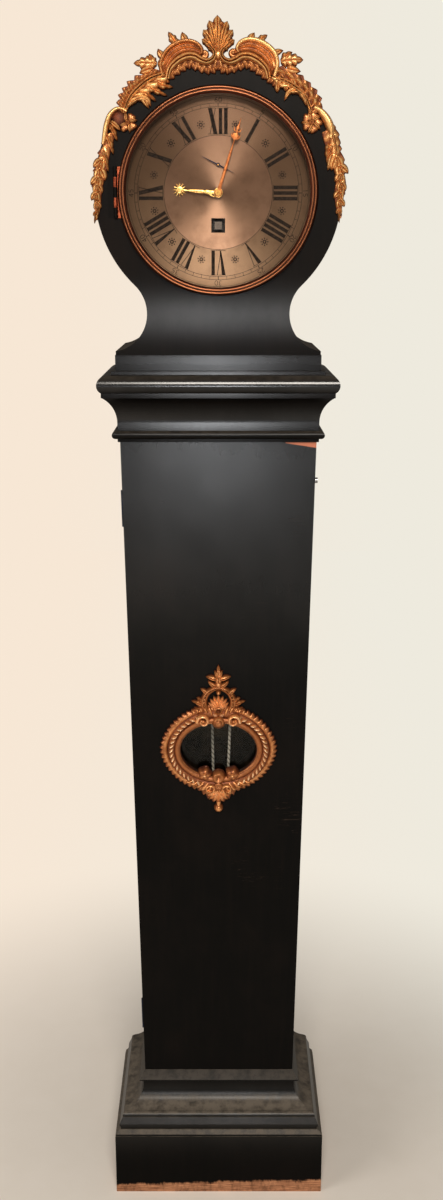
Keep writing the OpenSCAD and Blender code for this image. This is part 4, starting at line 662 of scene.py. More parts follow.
def carve(rows, across=13, count=36, vein=0.0, teeth=(0, 0), bite=0.35, edge=1.6,
          wrinkle=(0, 0.0), round_rows=False, dull=1.0):
    """A strip of carving that follows a path on a flat ground. Each row of the table is a point of the
    path, the width to its left and right and the rise. The section is a flat back, two low walls and an
    arch over them: the square root of one less the square of the place across, cut by a vein, a narrow bell
    in the middle. Teeth nip the left and right widths in a slanting saw, and wrinkles, a cosine, cross
    it."""
    line = np.asarray(rows, float) if round_rows else flow(rows, count)
    count = len(line)
    if round_rows:
        way = np.roll(line[:, :2], -1, 0) - np.roll(line[:, :2], 1, 0)
    else:
        way = np.gradient(line[:, :2], axis=0)
    way /= np.linalg.norm(way, axis=1, keepdims=True)
    left = np.stack([-way[:, 1], way[:, 0]], axis=1)
    s = np.linspace(-1, 1, across)
    along = np.linspace(0, 1, count, endpoint=not round_rows)[:, None]
    nipped = [1 - bite * (1 - saw(along, number)) if number else 1.0 for number in teeth]
    half = np.where(s < 0, line[:, 3:4] * nipped[1], line[:, 2:3] * nipped[0])
    arch = np.sqrt(np.clip(1 - s ** 2, 0, 1))[None, :]
    cut = np.ones((count, across))
    if vein:
        cut = cut * (1 - vein * np.exp(-(s / 0.16) ** 2))[None, :]
    if wrinkle[0]:
        waves = 0.5 + 0.5 * np.cos(along * wrinkle[0] * 2 * math.pi + 1.5 * np.abs(s))
        cut = cut * (1 - wrinkle[1] * waves)
    for side, number in enumerate(teeth):
        if number:
            mask = np.clip(s if side == 0 else -s, 0, 1)
            cut = cut * (1 - 0.6 * (1 - saw(along, number)) * mask)
    front = np.empty((count, across, 3))
    front[..., 0] = line[:, 0:1] + left[:, 0:1] * s * half
    front[..., 2] = line[:, 1:2] + left[:, 1:2] * s * half
    front[..., 1] = -edge - line[:, 4:5] * arch * cut
    back = front[:, [-1, 0]] * (1, 0, 1)
    # Relief on the points, low at the walls, in the vein and in wrinkles, high on the arch: the gilt paints
    # shade and highlight from it.
    relief = np.concatenate([(0.15 + 0.85 * arch) * cut, np.zeros((count, 2))], axis=1)
    relief *= np.clip(line[:, 4:5] / 6, 0.45, 1) * dull
    return shell(np.concatenate([front, back], axis=1), relief, round_rows)


def panel(first, second, rise, ridges=0, ribs=(0, 0.0), teeth=(0, 0.0), edge=2.2, across=25, count=72,
          dull=1.0):
    """A carved field between two edges, each a smooth curve through its own points. Across, it rises as a
    low power of the sine, cut by hollow flutes along the edges, each the absolute value of a sine, and by
    slanting ribs, a cosine. Teeth nip the first edge. Its relief, from which the gilt paints shade and
    highlight, can be scaled."""
    outer, inner = flow(first, count), flow(second, count)
    t = np.linspace(0, 1, count)[:, None]
    s = np.linspace(0, 1, across)[None, :]
    if teeth[0]:
        outer = outer + (inner - outer) * teeth[1] * (1 - saw(t, teeth[0]))
    arch = np.clip(np.sin(math.pi * s), 0, 1) ** 0.4
    cut = 1 - (0.42 * np.abs(np.sin(math.pi * ridges * s)) if ridges else 0 * s) + 0 * t
    if ribs[0]:
        cut = cut * (1 - ribs[1] * (0.5 - 0.5 * np.cos(2 * math.pi * (t * ribs[0] - 0.9 * s))))
    front = np.empty((count, across, 3))
    front[..., 0] = outer[:, :1] * (1 - s) + inner[:, :1] * s
    front[..., 2] = outer[:, 1:2] * (1 - s) + inner[:, 1:2] * s
    front[..., 1] = -edge - rise * arch * cut
    back = front[:, [-1, 0]] * (1, 0, 1)
    # Relief on the points, low in flutes and ribs: the gilt paints shade low and highlight high from it.
    relief = np.concatenate([(0.2 + 0.8 * arch) * cut * dull, np.zeros((count, 2))], axis=1)
    return shell(np.concatenate([front, back], axis=1), relief)


def boss(x, z, radius, rise, lobes=0, depth=0.0, dish=0.0, rings=9, around=24, dull=1.0):
    """A round boss on the ground: a quarter ellipse turned about Y, its radius waved into lobes, and dished
    in the middle by a bell."""
    t = np.linspace(0, 1, rings)[:, None]
    turn = np.linspace(0, 2 * math.pi, around, endpoint=False)[None, :]
    r = radius * np.cos(t * math.pi / 2) ** 0.9 + 0.05
    waved = r * (1 + depth * np.cos(turn * lobes) * np.cos(t * math.pi / 2)) if lobes else r + 0 * turn
    high = min(1.2, rise) + rise * np.sin(t * math.pi / 2) - dish * rise * np.exp(-(r / (0.45 * radius)) ** 2)
    points = np.stack([x + waved * np.cos(turn), 0 * turn - high, z + waved * np.sin(turn)], axis=-1)
    points = np.concatenate([points[:1] * (1, 0, 1), points])
    valley = 0.5 + 0.5 * np.cos(turn * lobes) if lobes else 1.0 + 0 * turn
    dished = 1 - dish * np.exp(-(r / (0.4 * radius)) ** 2)
    # Relief on the points, low at the foot, between lobes and in the dish: the gilt paints shade there and
    # highlight on top.
    relief = np.clip(0.25 + 0.75 * t, 0, 1) * (0.55 + 0.45 * valley) * dished
    return shell(points, np.concatenate([np.zeros((1, around)), relief * dull]))


def coil(x, z, start, end, turn_from, turn_to, wide, rise):
    """Rows for a scroll's strip: its radius goes evenly from start to end as it turns, in degrees clockwise
    from the top, and its width shrinks evenly to half."""
    t = np.linspace(0, 1, 9)
    turn = np.radians(turn_from + (turn_to - turn_from) * t)
    r = start + (end - start) * t
    w = wide * (1 - 0.5 * t)
    return np.stack([x + r * np.sin(turn), z + r * np.cos(turn), w, w, rise + 0 * t], axis=1)


def spear(x, z, turn, length, wide, rise, bend=0.0):
    """Rows for one leaf: from its root at a point it runs out at a turn clockwise from the top, bending in
    degrees, and is widest before the middle."""
    t = np.linspace(0, 1, 6)
    heading = np.radians(turn + bend * t)
    px = x + np.concatenate([[0], np.cumsum(np.sin(heading[1:]))]) * length / 5
    pz = z + np.concatenate([[0], np.cumsum(np.cos(heading[1:]))]) * length / 5
    w = wide * np.array([0.45, 0.9, 1.0, 0.85, 0.55, 0.06])
    h = rise * np.array([0.7, 1.0, 1.0, 0.9, 0.7, 0.3])
    return np.stack([px, pz, w, w, h], axis=1)


def leaf(*place, **cuts):
    """A small leaf with a vein, from a spear's rows."""
    cuts = {"vein": 0.35, "across": 9, "count": 14} | cuts
    return carve(spear(*place), **cuts)


def piece(name, shells, material, ground):
    """Joins closed skins, drawn in millimetres on a ground at a place in metres, into one mesh with its
    relief on its points, smooth except at sharp edges."""
    points, faces = joined([skin[:2] for skin in shells])
    made = built(name, points * MM + np.array(ground), faces, material)
    made.data.attributes.new("relief", "FLOAT", "POINT").data.foreach_set(
        "value", np.concatenate([skin[2] for skin in shells]).astype(np.float32))
    made.data.shade_smooth()
    made.data.set_sharp_from_angle(angle=math.radians(48))
    return made


def mirrored(rows):
    """The same rows on the other side: left and right widths change places."""
    rows = np.array(rows, float)
    rows[:, 0] *= -1
    if rows.shape[1] > 2:
        rows[:, [2, 3]] = rows[:, [3, 2]]
    return rows


# Hour, minute and seconds hands
# Gilt brass, chased: a sun on a lance for the hours, and a long blade with a
# leaf and a spear's point for the minutes. The seconds hand is blued steel.
def hand(turn, rows):
    """Rows drawn upright from the dial's centre, turned to where the hand points."""
    return [(*placed(turn, [row[:2]])[0], *row[2:]) for row in rows]


sun_metal = metal("sun_metal", linear(255, 218, 140), linear(214, 146, 70), 0.30, 300.0)
blade_metal = metal("blade_metal", linear(196, 122, 74), linear(150, 84, 48), 0.40, 300.0)
hour_turn, sun_height, rays = 274, 58, 12
hour_ground = (0, -0.0695, dial_centre[2])
sun_x, sun_z = placed(hour_turn, [(0, sun_height)])[0]
hour_shells = [
    boss(0, 0, 7, 0.55),
    boss(sun_x, sun_z, 5.2, 0.7),
    carve(hand(hour_turn, [
        (0, 5, 2.2, 2.2, 0.5), (0, 12, 3.0, 3.0, 0.8), (0, 18, 3.2, 3.2, 0.9), (0, 20.5, 2.0, 2.0, 0.7),
        (0, 23, 3.0, 3.0, 0.9), (0, 30, 2.7, 2.7, 0.9), (0, 38, 2.2, 2.2, 0.8), (0, 44, 1.4, 1.4, 0.7),
        (0, 47, 0.8, 0.8, 0.5), (0, 49, 1.5, 1.5, 0.6), (0, 54, 0.9, 0.9, 0.5)]), edge=0.4,
          count=60),
    carve(hand(hour_turn, [(-2, 14, 0.9, 0.9, 0.5), (-4.5, 10, 1.0, 1.0, 0.5), (-6, 5, 0.8, 0.8, 0.4)]),
          edge=0.4, across=7, count=12),
]
for ray in range(rays):
    turn = math.radians(ray * 360 / rays)
    ray_rows = [(sun_x + out * math.sin(turn), sun_z + out * math.cos(turn), wide, wide, rise)
                for out, wide, rise in ((4.0, 1.1, 0.6), (7, 0.9, 0.5), (10.4, 0.15, 0.2))]
    hour_shells.append(carve(ray_rows, edge=0.4, across=5, count=6))
hour_hand = piece("chased_hour_hand", hour_shells, sun_metal, hour_ground)
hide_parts("hour_hand")
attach(hour_hand, "hour_wheel")

minute_turn, rose_height = 18, 83
minute_ground = (0, -0.0745, dial_centre[2])
rose_x, rose_z = placed(minute_turn, [(0, rose_height)])[0]
minute_shells = [
    boss(0, 0, 6, 0.55),
    carve(hand(minute_turn, [
        (0, 4, 3.0, 3.0, 0.5), (0, 14, 2.4, 2.4, 0.6), (0, 40, 2.3, 2.3, 0.6), (0, 60, 1.8, 1.8, 0.6),
        (0, 70, 1.0, 1.0, 0.5), (0, 78, 0.8, 0.8, 0.5)]), edge=0.4, count=40),
    boss(rose_x, rose_z, 5.2, 0.6, lobes=6, depth=0.16),
    carve(hand(minute_turn, [
        (0, 86, 1.8, 1.8, 0.6), (0, 91, 1.2, 1.2, 0.5), (0, 96, 2.6, 2.6, 0.6), (0, 100, 1.2, 1.2, 0.5),
        (0, 110, 0.2, 0.2, 0.2)]), edge=0.4, count=30),
]
for side in (-1, 1):
    low_curl = [(side * 2, 79, 0.8, 0.8, 0.5), (side * 5.4, 82, 1.2, 1.2, 0.6),
                (side * 6.4, 87, 0.3, 0.3, 0.3)]
    high_curl = [(side * 1, 90, 0.7, 0.7, 0.5), (side * 4.2, 91.5, 1.1, 1.1, 0.6),
                 (side * 5.2, 96, 0.3, 0.3, 0.3)]
    for curl in (low_curl, high_curl):
        minute_shells.append(carve(hand(minute_turn, curl), edge=0.4, across=7, count=12))
minute_hand = piece("chased_minute_hand", minute_shells, blade_metal, minute_ground)
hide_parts("minute_hand")
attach(minute_hand, "centre_arbor")
dress(blued, "seconds_hand")


# Crest over the dial
# Lime wood, carved and gilt, glued to the hood's face: two fluted scrolls lean
# on a shell in the middle, over a waved and scalloped rim.
hood_ground = (0, -0.075, dial_centre[2])
shell_lobes = [(-23.5, 211, 5.4), (24, 210, 5.4), (-21.5, 223.5, 6.2), (21.5, 223.5, 6.2), (-13, 236, 6.4),
               (13.5, 235, 6.4), (-1, 243, 7.2)]
crest_shells = [panel([(-9, 192), (-17, 200), (-21, 211), (-17, 223), (-9, 233), (-1, 238)],
                      [(9, 192), (17, 200), (21, 211), (17, 223), (9, 233), (0, 238)], 5,
                      ribs=(6, 0.4), dull=0.7)]
for tip_x, tip_z, wide in shell_lobes:
    root_x, root_z = tip_x * 0.12, 193.0
    mid_x, mid_z = root_x + (tip_x - root_x) * 0.55, root_z + (tip_z - root_z) * 0.60
    crest_shells.append(carve(
        [(root_x, root_z, wide * 0.45, wide * 0.45, 8), (mid_x, mid_z, wide * 0.85, wide * 0.85, 12),
         (root_x + (tip_x - root_x) * 0.8, root_z + (tip_z - root_z) * 0.84, wide, wide, 10),
         (tip_x, tip_z, 0.5, 0.5, 3)], vein=0.5, across=13, count=26, teeth=(2, 2), bite=0.22,
         dull=1.1))
scroll_edge = [(-78, 160), (-85, 176), (-78, 194), (-65, 205), (-48, 210.5), (-35, 209), (-25, 203),
               (-20, 196)]
scroll_edge_right = [(80, 162), (87, 180), (83, 195), (72, 204.5), (58, 211.5), (45, 213.5), (34, 209.5),
                     (25, 200)]
scroll_foot = [(-72, 164), (-68, 175), (-60, 182.5), (-53, 187), (-45, 189.5), (-37, 189.5), (-29, 188),
               (-22, 188)]
scroll_back = [(-80, 160, 3.0, 3.0, 10), (-83.5, 176, 3.2, 3.2, 12), (-77, 192, 3.4, 3.4, 13),
               (-64, 203, 3.6, 3.6, 13), (-48, 208, 3.6, 3.6, 14), (-34, 206, 3.4, 3.4, 14),
               (-25, 199.5, 3.2, 3.2, 13), (-23.5, 192.5, 2.4, 2.4, 11), (-28, 190, 1.4, 1.4, 8)]
scroll_back_right = [(82, 160, 3.2, 3.2, 10), (86, 176, 3.6, 3.6, 12), (82.5, 191, 4.2, 4.2, 13),
                     (71, 202, 4.4, 4.4, 13), (57, 208.5, 4.4, 4.4, 14), (44, 210, 4.0, 4.0, 14),
                     (33, 206.5, 3.6, 3.6, 13), (27.5, 199, 2.8, 2.8, 11), (29.5, 193, 1.6, 1.6, 8)]
scroll_sweep = [(-74, 158, 4.5, 4.5, 8), (-70, 171, 5.4, 5.4, 11), (-59, 181.5, 6.0, 6.0, 13),
                (-46, 187.5, 6.4, 6.4, 14), (-34.5, 187.5, 6.2, 6.2, 14), (-26, 183, 5.8, 5.8, 14),
                (-17, 180, 5.4, 5.4, 15), (-8.5, 183, 4.8, 4.8, 15), (-4.5, 190.5, 4.0, 4.0, 15),
                (-8.5, 197.5, 3.0, 3.0, 13), (-14.5, 196, 1.6, 1.6, 9)]
rim_under = [(-88, 148, 4.5, 5.0, 4), (-78, 155.5, 5.0, 7.0, 5), (-67, 163.5, 5.0, 7.0, 5),
             (-55, 171, 5.0, 7.0, 5), (-43, 176.5, 4.8, 7.0, 5), (-30, 174, 4.6, 7.0, 5),
             (-17, 170, 4.4, 7.0, 5), (-7, 170.5, 4.2, 7.0, 5), (1.5, 175.5, 3.0, 4.0, 4)]
under_edge = [(-79, 153), (-67, 162), (-55, 170), (-43, 176), (-30, 173), (-17, 169), (-7, 170), (1, 175)]
under_top = [(-76, 166), (-66, 176), (-56, 184), (-45, 188), (-33, 188), (-22, 183), (-11, 183), (-1, 189)]
crest_shells += [
    panel(scroll_edge, scroll_foot, 7, ridges=4, across=41, edge=3, dull=0.84),
    panel(scroll_edge_right, mirrored(scroll_foot), 7, ridges=4, across=41, edge=3, dull=0.84),
    carve(scroll_back, across=11, count=52, dull=0.72),
    carve(scroll_back_right, across=11, count=52, dull=1.1),
]
for turned_rows, its_teeth in ((np.array, (0, 11)), (mirrored, (11, 0))):
    crest_shells += [
        panel(turned_rows(under_edge), turned_rows(under_top), 3.5, ribs=(9, 0.5), dull=0.8),
        carve(turned_rows(scroll_sweep), vein=0.5, across=21, count=64, dull=0.95),
        carve(turned_rows(rim_under), across=15, count=150, teeth=its_teeth, bite=0.50, dull=0.92,
              wrinkle=(22, 0.35)),
    ]
crest_shells += [
    boss(-19.5, 190.5, 6.5, 5, dish=0.5),
    boss(22, 192, 7.0, 6, dish=0.6),
    boss(22, 192, 2.6, 8),
    boss(0, 190, 8, 9),
    leaf(-59, 203, -42, 22, 7.5, 8, 10, teeth=(3, 3)),
    leaf(-46, 207, -36, 15, 5.5, 7, 20),
    leaf(-79, 186, -52, 15, 5.5, 7, 30),
    leaf(45, 208, 28, 14, 5.5, 7, 10),
    leaf(57, 206, 42, 18, 6.5, 8, 20, teeth=(3, 3)),
    leaf(79, 190, 52, 17, 5.0, 7, 30),
]
crest = piece("carved_crest", crest_shells, gilt_wood, hood_ground)
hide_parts("crest")
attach(crest, "hood")


# Acanthus leaf on each side of the crest
# Gilt lime wood, glued on: a broad leaf lies round the head of the hood, its
# outer edge cut in lobes, its tips turned in towards the dial, and a flower
# closes it below.
def flower(x, z, size, turn=0, petals=5):
    """Round lobes about a dished boss, with a short leaf between each two."""
    made = []
    for k in range(petals):
        heading = turn + 360 / petals * k
        dx, dz = math.sin(math.radians(heading)), math.cos(math.radians(heading))
        made.append(boss(x + 0.56 * size * dx, z + 0.56 * size * dz, size * 0.42, 6, lobes=3,
                         depth=0.12, dish=0.15, rings=7, around=18))
        made.append(leaf(x + 0.2 * size * dx, z + 0.2 * size * dz, heading + 180 / petals, size * 0.85,
                         size * 0.22, 7, 14, edge=2.0))
    return made + [boss(x, z, size * 0.30, 9, dish=0.5, rings=7, around=14, dull=0.8)]


outer_left = [(-82, 170), (-96, 172), (-110, 168.5), (-121, 163), (-132, 156), (-139, 148), (-145, 140),
              (-149, 131), (-149.5, 121), (-145, 112)]
ridge_left = [(-80, 163), (-92, 160), (-103, 154), (-113, 147), (-120, 141.5), (-126, 135), (-130, 128.5),
              (-133.5, 122), (-136, 116), (-138, 110)]
inner_left = [(-69, 155), (-77, 148), (-88, 141), (-96, 136), (-103, 133), (-112, 131), (-119, 129),
              (-125, 124), (-130, 118), (-135, 110)]
acanthus_left = piece("carved_acanthus_left", [
    panel(outer_left, ridge_left, 9, ridges=2, ribs=(16, 0.35), teeth=(8, 0.32), count=130,
          dull=1.15),
    panel(inner_left, ridge_left, 8, ribs=(7, 0.40), teeth=(7, 0.34), count=100, dull=1.1),
    carve([(-78, 164, 3.4, 3.4, 11), (-98, 157.5, 4.2, 4.2, 13), (-113, 147.5, 4.4, 4.4, 13),
           (-125.5, 136, 4.0, 4.0, 12), (-133, 124, 3.4, 3.4, 11), (-138, 111, 2.6, 2.6, 8)],
          across=13, vein=0.6),
    leaf(-89, 178, -84, 34, 11, 9, -8, teeth=(4, 4), count=30, across=13),
    leaf(-92, 178, -38, 16, 6.5, 8, 10, teeth=(2, 2)),
    leaf(-96, 172, -104, 20, 6.5, 8, -10),
    leaf(-84, 172, 10, 18, 6.0, 8, 20),
    leaf(-96, 152, 108, 31, 6.5, 9, -12, count=22, teeth=(3, 3)),
    leaf(-104, 146, 108, 32, 5.6, 8, 6, count=22, teeth=(3, 3)),
    leaf(-112, 141, 112, 26, 5.0, 8, 20, teeth=(2, 2)),
    leaf(-116, 138, 138, 26, 5.0, 8, 12),
    carve([(-131, 120, 3, 3, 8), (-123, 128, 4.8, 4.8, 9), (-111, 131, 5.4, 5.4, 9), (-103, 128, 4.4, 4.4, 8),
           (-98.5, 119.5, 0.5, 0.5, 3)], vein=0.3, count=30, teeth=(0, 3)),
    *flower(-133, 98, 15, 36, 4),
], gilt_wood, hood_ground)

outer_right = [(82, 172), (94, 176), (106, 172), (116, 167.5), (125, 162), (133, 155), (140, 148.5),
               (147, 141), (152, 133), (154.5, 124), (153, 112)]
ridge_right = [(82, 162), (92, 160), (102, 154), (112, 147), (119, 142), (125, 137), (129, 131), (132, 125),
               (134.5, 119), (136, 115), (138, 110)]
inner_right = [(74, 157), (80, 150), (87, 143), (94, 145), (101, 144), (108, 143), (115, 140), (121, 135),
               (126, 128), (130, 120), (133, 110)]
acanthus_right = piece("carved_acanthus_right", [
    panel(outer_right, ridge_right, 9, ridges=2, ribs=(7, 0.45), teeth=(7, 0.20), count=130,
          dull=1.15),
    panel(inner_right, ridge_right, 8, ribs=(6, 0.40), teeth=(6, 0.34), count=100, dull=1.1),
    carve([(84, 158, 3.0, 3.0, 11), (100, 153, 4.0, 4.0, 13), (114, 145, 4.2, 4.2, 13),
           (125.5, 136, 3.8, 3.8, 12), (132, 124.5, 3.4, 3.4, 11), (137, 112, 2.6, 2.6, 8)],
          across=13, vein=0.6),
    leaf(91, 181, 80, 33, 12, 9, 10, teeth=(4, 4), count=30, across=13),
    leaf(93, 184, 45, 18, 6.5, 8, 20, teeth=(2, 2)),
    leaf(100, 172, 108, 21, 6.5, 7, -10),
    leaf(85, 170, -8, 20, 6.0, 8, -20),
    leaf(90, 162, -160, 24, 7.5, 9, -20, teeth=(2, 2)),
    leaf(99, 158, -176, 18, 6.5, 9, -10),
    leaf(109, 156, 165, 15, 6.0, 8, 20),
    carve([(130, 122, 3, 3, 8), (123, 136, 5.0, 5.0, 9), (112, 141.5, 5.6, 5.6, 9), (103, 138, 4.6, 4.6, 8),
           (97, 127.5, 0.5, 0.5, 3)], vein=0.3, count=30, teeth=(3, 0)),
    *flower(138, 98, 16, 20, 5),
], gilt_wood, hood_ground)
for made, stands_for in ((acanthus_left, "acanthus_left"), (acanthus_right, "acanthus_right")):
    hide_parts(stands_for)
    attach(made, "hood")


# Drop of husks on each side of the dial
# Gilt lime wood, glued on: a scroll hangs from the leaf and lets down a string
# of husks, each of three small leaves, which follows the edge of the hood and
# thins out below.
def husks(outer, inner, number):
    """Husks down the middle of a field between two edges: three leaves under a knob, swaying by turns."""
    outer, inner = flow(outer, number + 1), flow(inner, number + 1)
    middle = (outer + inner) / 2
    made = []
    for k in range(number):
        x, z = middle[k]
        dx, dz = middle[k + 1] - middle[k]
        down = math.degrees(math.atan2(dx, dz))
        wide = np.linalg.norm(outer[k] - inner[k])
        long = math.hypot(dx, dz)
        sway = 14 * (-1) ** k
        made.append(leaf(x, z, down + 42 + sway, wide * 0.86, wide * 0.30, 8, -34))
        made.append(leaf(x, z, down - 42 + sway, wide * 0.86, wide * 0.30, 8, 34))
        made.append(leaf(x, z, down + sway, long * 1.45, wide * 0.25, 11, -sway, teeth=(2, 2),
                         bite=0.25))
        made.append(boss(x, z, wide * 0.14, 10, rings=6, around=12))
    return made


drop_outer_left = [(-168, 82), (-174, 68), (-179, 57), (-182.5, 47), (-186, 36), (-187.5, 27), (-187.5, 18),
                   (-189.5, 9), (-189, -2), (-187.5, -15), (-187, -28), (-185.5, -39)]
drop_inner_left = [(-151, 84), (-155, 70), (-159.5, 56), (-162, 45), (-164.5, 34), (-168, 22), (-171, 12),
                   (-173.5, 3), (-174.5, -8), (-176, -19), (-178.5, -30), (-182, -40)]
drop_outer_right = [(173, 92), (179, 76), (183, 64), (187, 52), (190, 38), (191, 25), (191, 12), (190.5, 0),
                    (189, -12), (187, -24), (185.5, -37)]
drop_inner_right = [(153, 84), (156, 72), (160, 62), (163, 49), (168, 38), (174, 28), (175, 16), (174, 4),
                    (174, -8), (176.5, -22), (181.5, -37)]
drop_left = piece("carved_drop_left", [
    panel(drop_outer_left, drop_inner_left, 5, ribs=(9, 0.5), teeth=(9, 0.26), count=130,
          dull=0.95),
    boss(-146, 103, 12.0, 9, dull=0.3, rings=12, around=32),
    carve([(-134, 113, 2.0, 2.0, 8), (-142, 117, 2.8, 2.8, 9), (-151, 115.5, 3.4, 3.4, 11),
           (-159, 107.5, 4.2, 4.2, 13), (-164, 95, 4.6, 4.6, 13), (-167, 82, 4.2, 4.2, 11),
           (-170, 68, 3.0, 3.0, 8)], count=48),
    leaf(-160, 95, 146, 25, 5.5, 10, 14, teeth=(3, 3)),
    leaf(-158, 99, 118, 19, 4.6, 9, 24),
    leaf(-165, 82, 156, 30, 5.8, 10, 8, teeth=(3, 3)),
    leaf(-170, 62, 166, 34, 4.6, 10, 4, teeth=(3, 3)),
    *husks(drop_outer_left[3:], drop_inner_left[3:], 7),
], gilt_wood, hood_ground)
drop_right = piece("carved_drop_right", [
    panel(drop_outer_right, drop_inner_right, 5, ribs=(9, 0.5), teeth=(8, 0.16), count=130,
          dull=0.95),
    carve([(141, 119, 2.5, 3.5, 8), (151, 114, 4.0, 6.0, 10), (160, 104, 5.0, 8.0, 13),
           (166, 92, 5.4, 8.0, 13), (169, 80, 3.0, 4.0, 9)], count=40, across=17),
    carve([(163, 98, 5, 5, 7), (168, 84, 10, 9, 9), (172, 70, 10, 10, 9), (175, 56, 6, 9, 8),
           (176, 42, 1, 1, 5)], vein=0.5, across=17, count=44, teeth=(5, 5), bite=0.25),
    carve([(166, 96, 1.6, 1.6, 14), (169, 80, 1.4, 1.4, 15), (173, 62, 1.2, 1.2, 13), (177, 46, 0.6, 0.6, 8)],
          across=7, count=24),
    leaf(163, 70, 186, 30, 5.4, 9, -8, teeth=(3, 3)),
    leaf(169, 54, 200, 24, 4.4, 9, -10),
    *husks(drop_outer_right[3:], drop_inner_right[3:], 7),
], gilt_wood, hood_ground)
for made, stands_for in ((drop_left, "husk_drop_left"), (drop_right, "husk_drop_right")):
    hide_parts(stands_for)
    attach(made, "hood")


# Frame of the lenticle
# Lime wood on the door, gilt darker than the hood's carving: a ring of leaf tips
# and beads round the window, a shell and a flower above it, and a hanging shell
# with a ball below.
lens_ground = (0, -0.071, 0.8545)
lens_gilt = gilt("lens_gilt", linear(156, 94, 50), linear(220, 152, 94))


def band(half_width, half_height, left, right, rise, count, tip=0.0):
    """Rows of a closed strip on an oval, a cosine across and a sine up, drawn out a little at both
    sides."""
    turn = np.linspace(0, 2 * math.pi, count, endpoint=False)
    out = 1 + tip * np.abs(np.cos(turn)) ** 12
    line = np.stack([half_width * np.cos(turn) * out, 1.5 + half_height * np.sin(turn)], axis=1)
    return np.hstack([line, np.tile([left, right, rise], (count, 1))])


def beads(half_width, half_height, number, long=5.0, short=2.6, lean=42):
    """Slanting beads on an oval: each is a small dome drawn out along a line that leans from the way of the
    oval."""
    turn = np.linspace(0, 2 * math.pi, number, endpoint=False)
    made = []
    for at in turn:
        x, z = half_width * math.cos(at), 1.5 + half_height * math.sin(at)
        if z > 0 and abs(x) < 33 or z < 0 and abs(x) < 30:
            continue
        way = math.degrees(math.atan2(-half_width * math.sin(at), half_height * math.cos(at)))
        heading = math.radians(way + (lean if x < 0 else -lean))
        dx, dz = math.sin(heading) * long, math.cos(heading) * long
        made.append(carve([(x - dx, z - dz, 0.6, 0.6, 8), (x - 0.5 * dx, z - 0.5 * dz, short, short, 12),
                           (x + 0.5 * dx, z + 0.5 * dz, short, short, 12), (x + dx, z + dz, 0.6, 0.6, 8)],
                          across=9, count=9, edge=4, dull=1.36))
    return made


lens_shells = [
    carve(band(88.5, 74, 6, 8.5, 5, 600, 0.035), across=13, teeth=(0, 60), bite=0.42, edge=3,
          round_rows=True),
    carve(band(79.5, 65, 7, 7, 4, 240), across=9, edge=5.5, round_rows=True, dull=0.8),
    carve(band(70.5, 54.5, 6.5, 5.0, 7, 200), across=13, edge=5, round_rows=True, dull=0.62),
    carve(band(66, 49.5, 1.2, 1.4, 5, 200), across=7, edge=5, round_rows=True),
    *beads(80, 65, 50),
]
for side in (-1, 1):
    lens_shells += [
        carve(coil(side * 25.5, 55, 11, 3, side * 100, -side * 330, 4.6, 15), across=9, count=48,
              edge=4, dull=1.2),
        boss(side * 25.5, 55, 4.2, 17),
        boss(side * 25.5, 55, 11.5, 7, dull=0.4),
        boss(side * 23.5, -42, 12.0, 18, lobes=5, depth=0.08, dish=0.25, dull=1.1),
        boss(side * 23.5, -42, 4.6, 20, dull=1.3),
        panel([(side * 46, 74), (side * 38, 80), (side * 31, 88), (side * 27, 97), (side * 21, 107),
               (side * 12, 114)],
              [(side * 26, 66), (side * 21, 73), (side * 19, 82), (side * 19.5, 92), (side * 15, 101),
               (side * 7, 108)], 6, ribs=(8, 0.55), teeth=(6, 0.28), edge=3),
        carve([(side * 14, 66, 5, 5, 8), (side * 22, 76, 6.0, 6.0, 10), (side * 24.5, 89, 6.0, 6.0, 10),
               (side * 19, 102, 5.4, 5.4, 10), (side * 9.5, 109.5, 4.6, 4.6, 10), (0, 112, 4.0, 4.0, 8)],
              count=40, across=15, vein=0.5, dull=0.85),
        leaf(side * 22, 80, side * 62, 25, 6.0, 9, side * 14, teeth=(3, 3)),
        leaf(side * 24, 87, side * 40, 15, 5.0, 9, side * 40, teeth=(2, 2)),
        leaf(side * 17, 100, side * 38, 17, 4.6, 9, side * 24),
        leaf(side * 3, 114, side * 78, 18, 4.6, 9, -side * 40),
        leaf(side * 2, 126, side * 62, 20, 5.2, 9, side * 22),
        leaf(side * 3, 57, side * 150, 14, 4.6, 10, side * 12),
        panel([(side * 60, -60), (side * 47, -68), (side * 34, -76), (side * 23, -87), (side * 11, -96),
               (0, -99)],
              [(side * 46, -50), (side * 36, -52), (side * 24, -54), (side * 14, -56), (side * 6, -60),
               (0, -66)], 9, ribs=(7, 0.45), teeth=(7, 0.22), edge=3),
        carve(coil(side * 15, -70, 8.5, 2.5, -side * 60, side * 240, 3.8, 14), across=9, count=36),
        leaf(side * 27, -56, side * 112, 22, 5.0, 13, side * 30, teeth=(3, 3)),
        panel([(side * 44, 74), (side * 34, 78), (side * 24, 80), (side * 12, 80), (0, 82)],
              [(side * 44, 62), (side * 36, 66), (side * 26, 68), (side * 14, 62), (0, 58)], 9,
              ribs=(6, 0.45), edge=3),
    ]
for turn in range(-66, 67, 22):
    root_x, long = 1.2 * math.sin(math.radians(turn)), 22 - 0.06 * abs(turn)
    lens_shells.append(leaf(root_x, 78, turn, long, 4.8, 12, 0, vein=0.2, dull=1.25))
lens_shells += [leaf(0, -74, turn, 23, 4.8, 11, 0, vein=0.2, dull=1.25)
                for turn in range(114, 247, 22)]
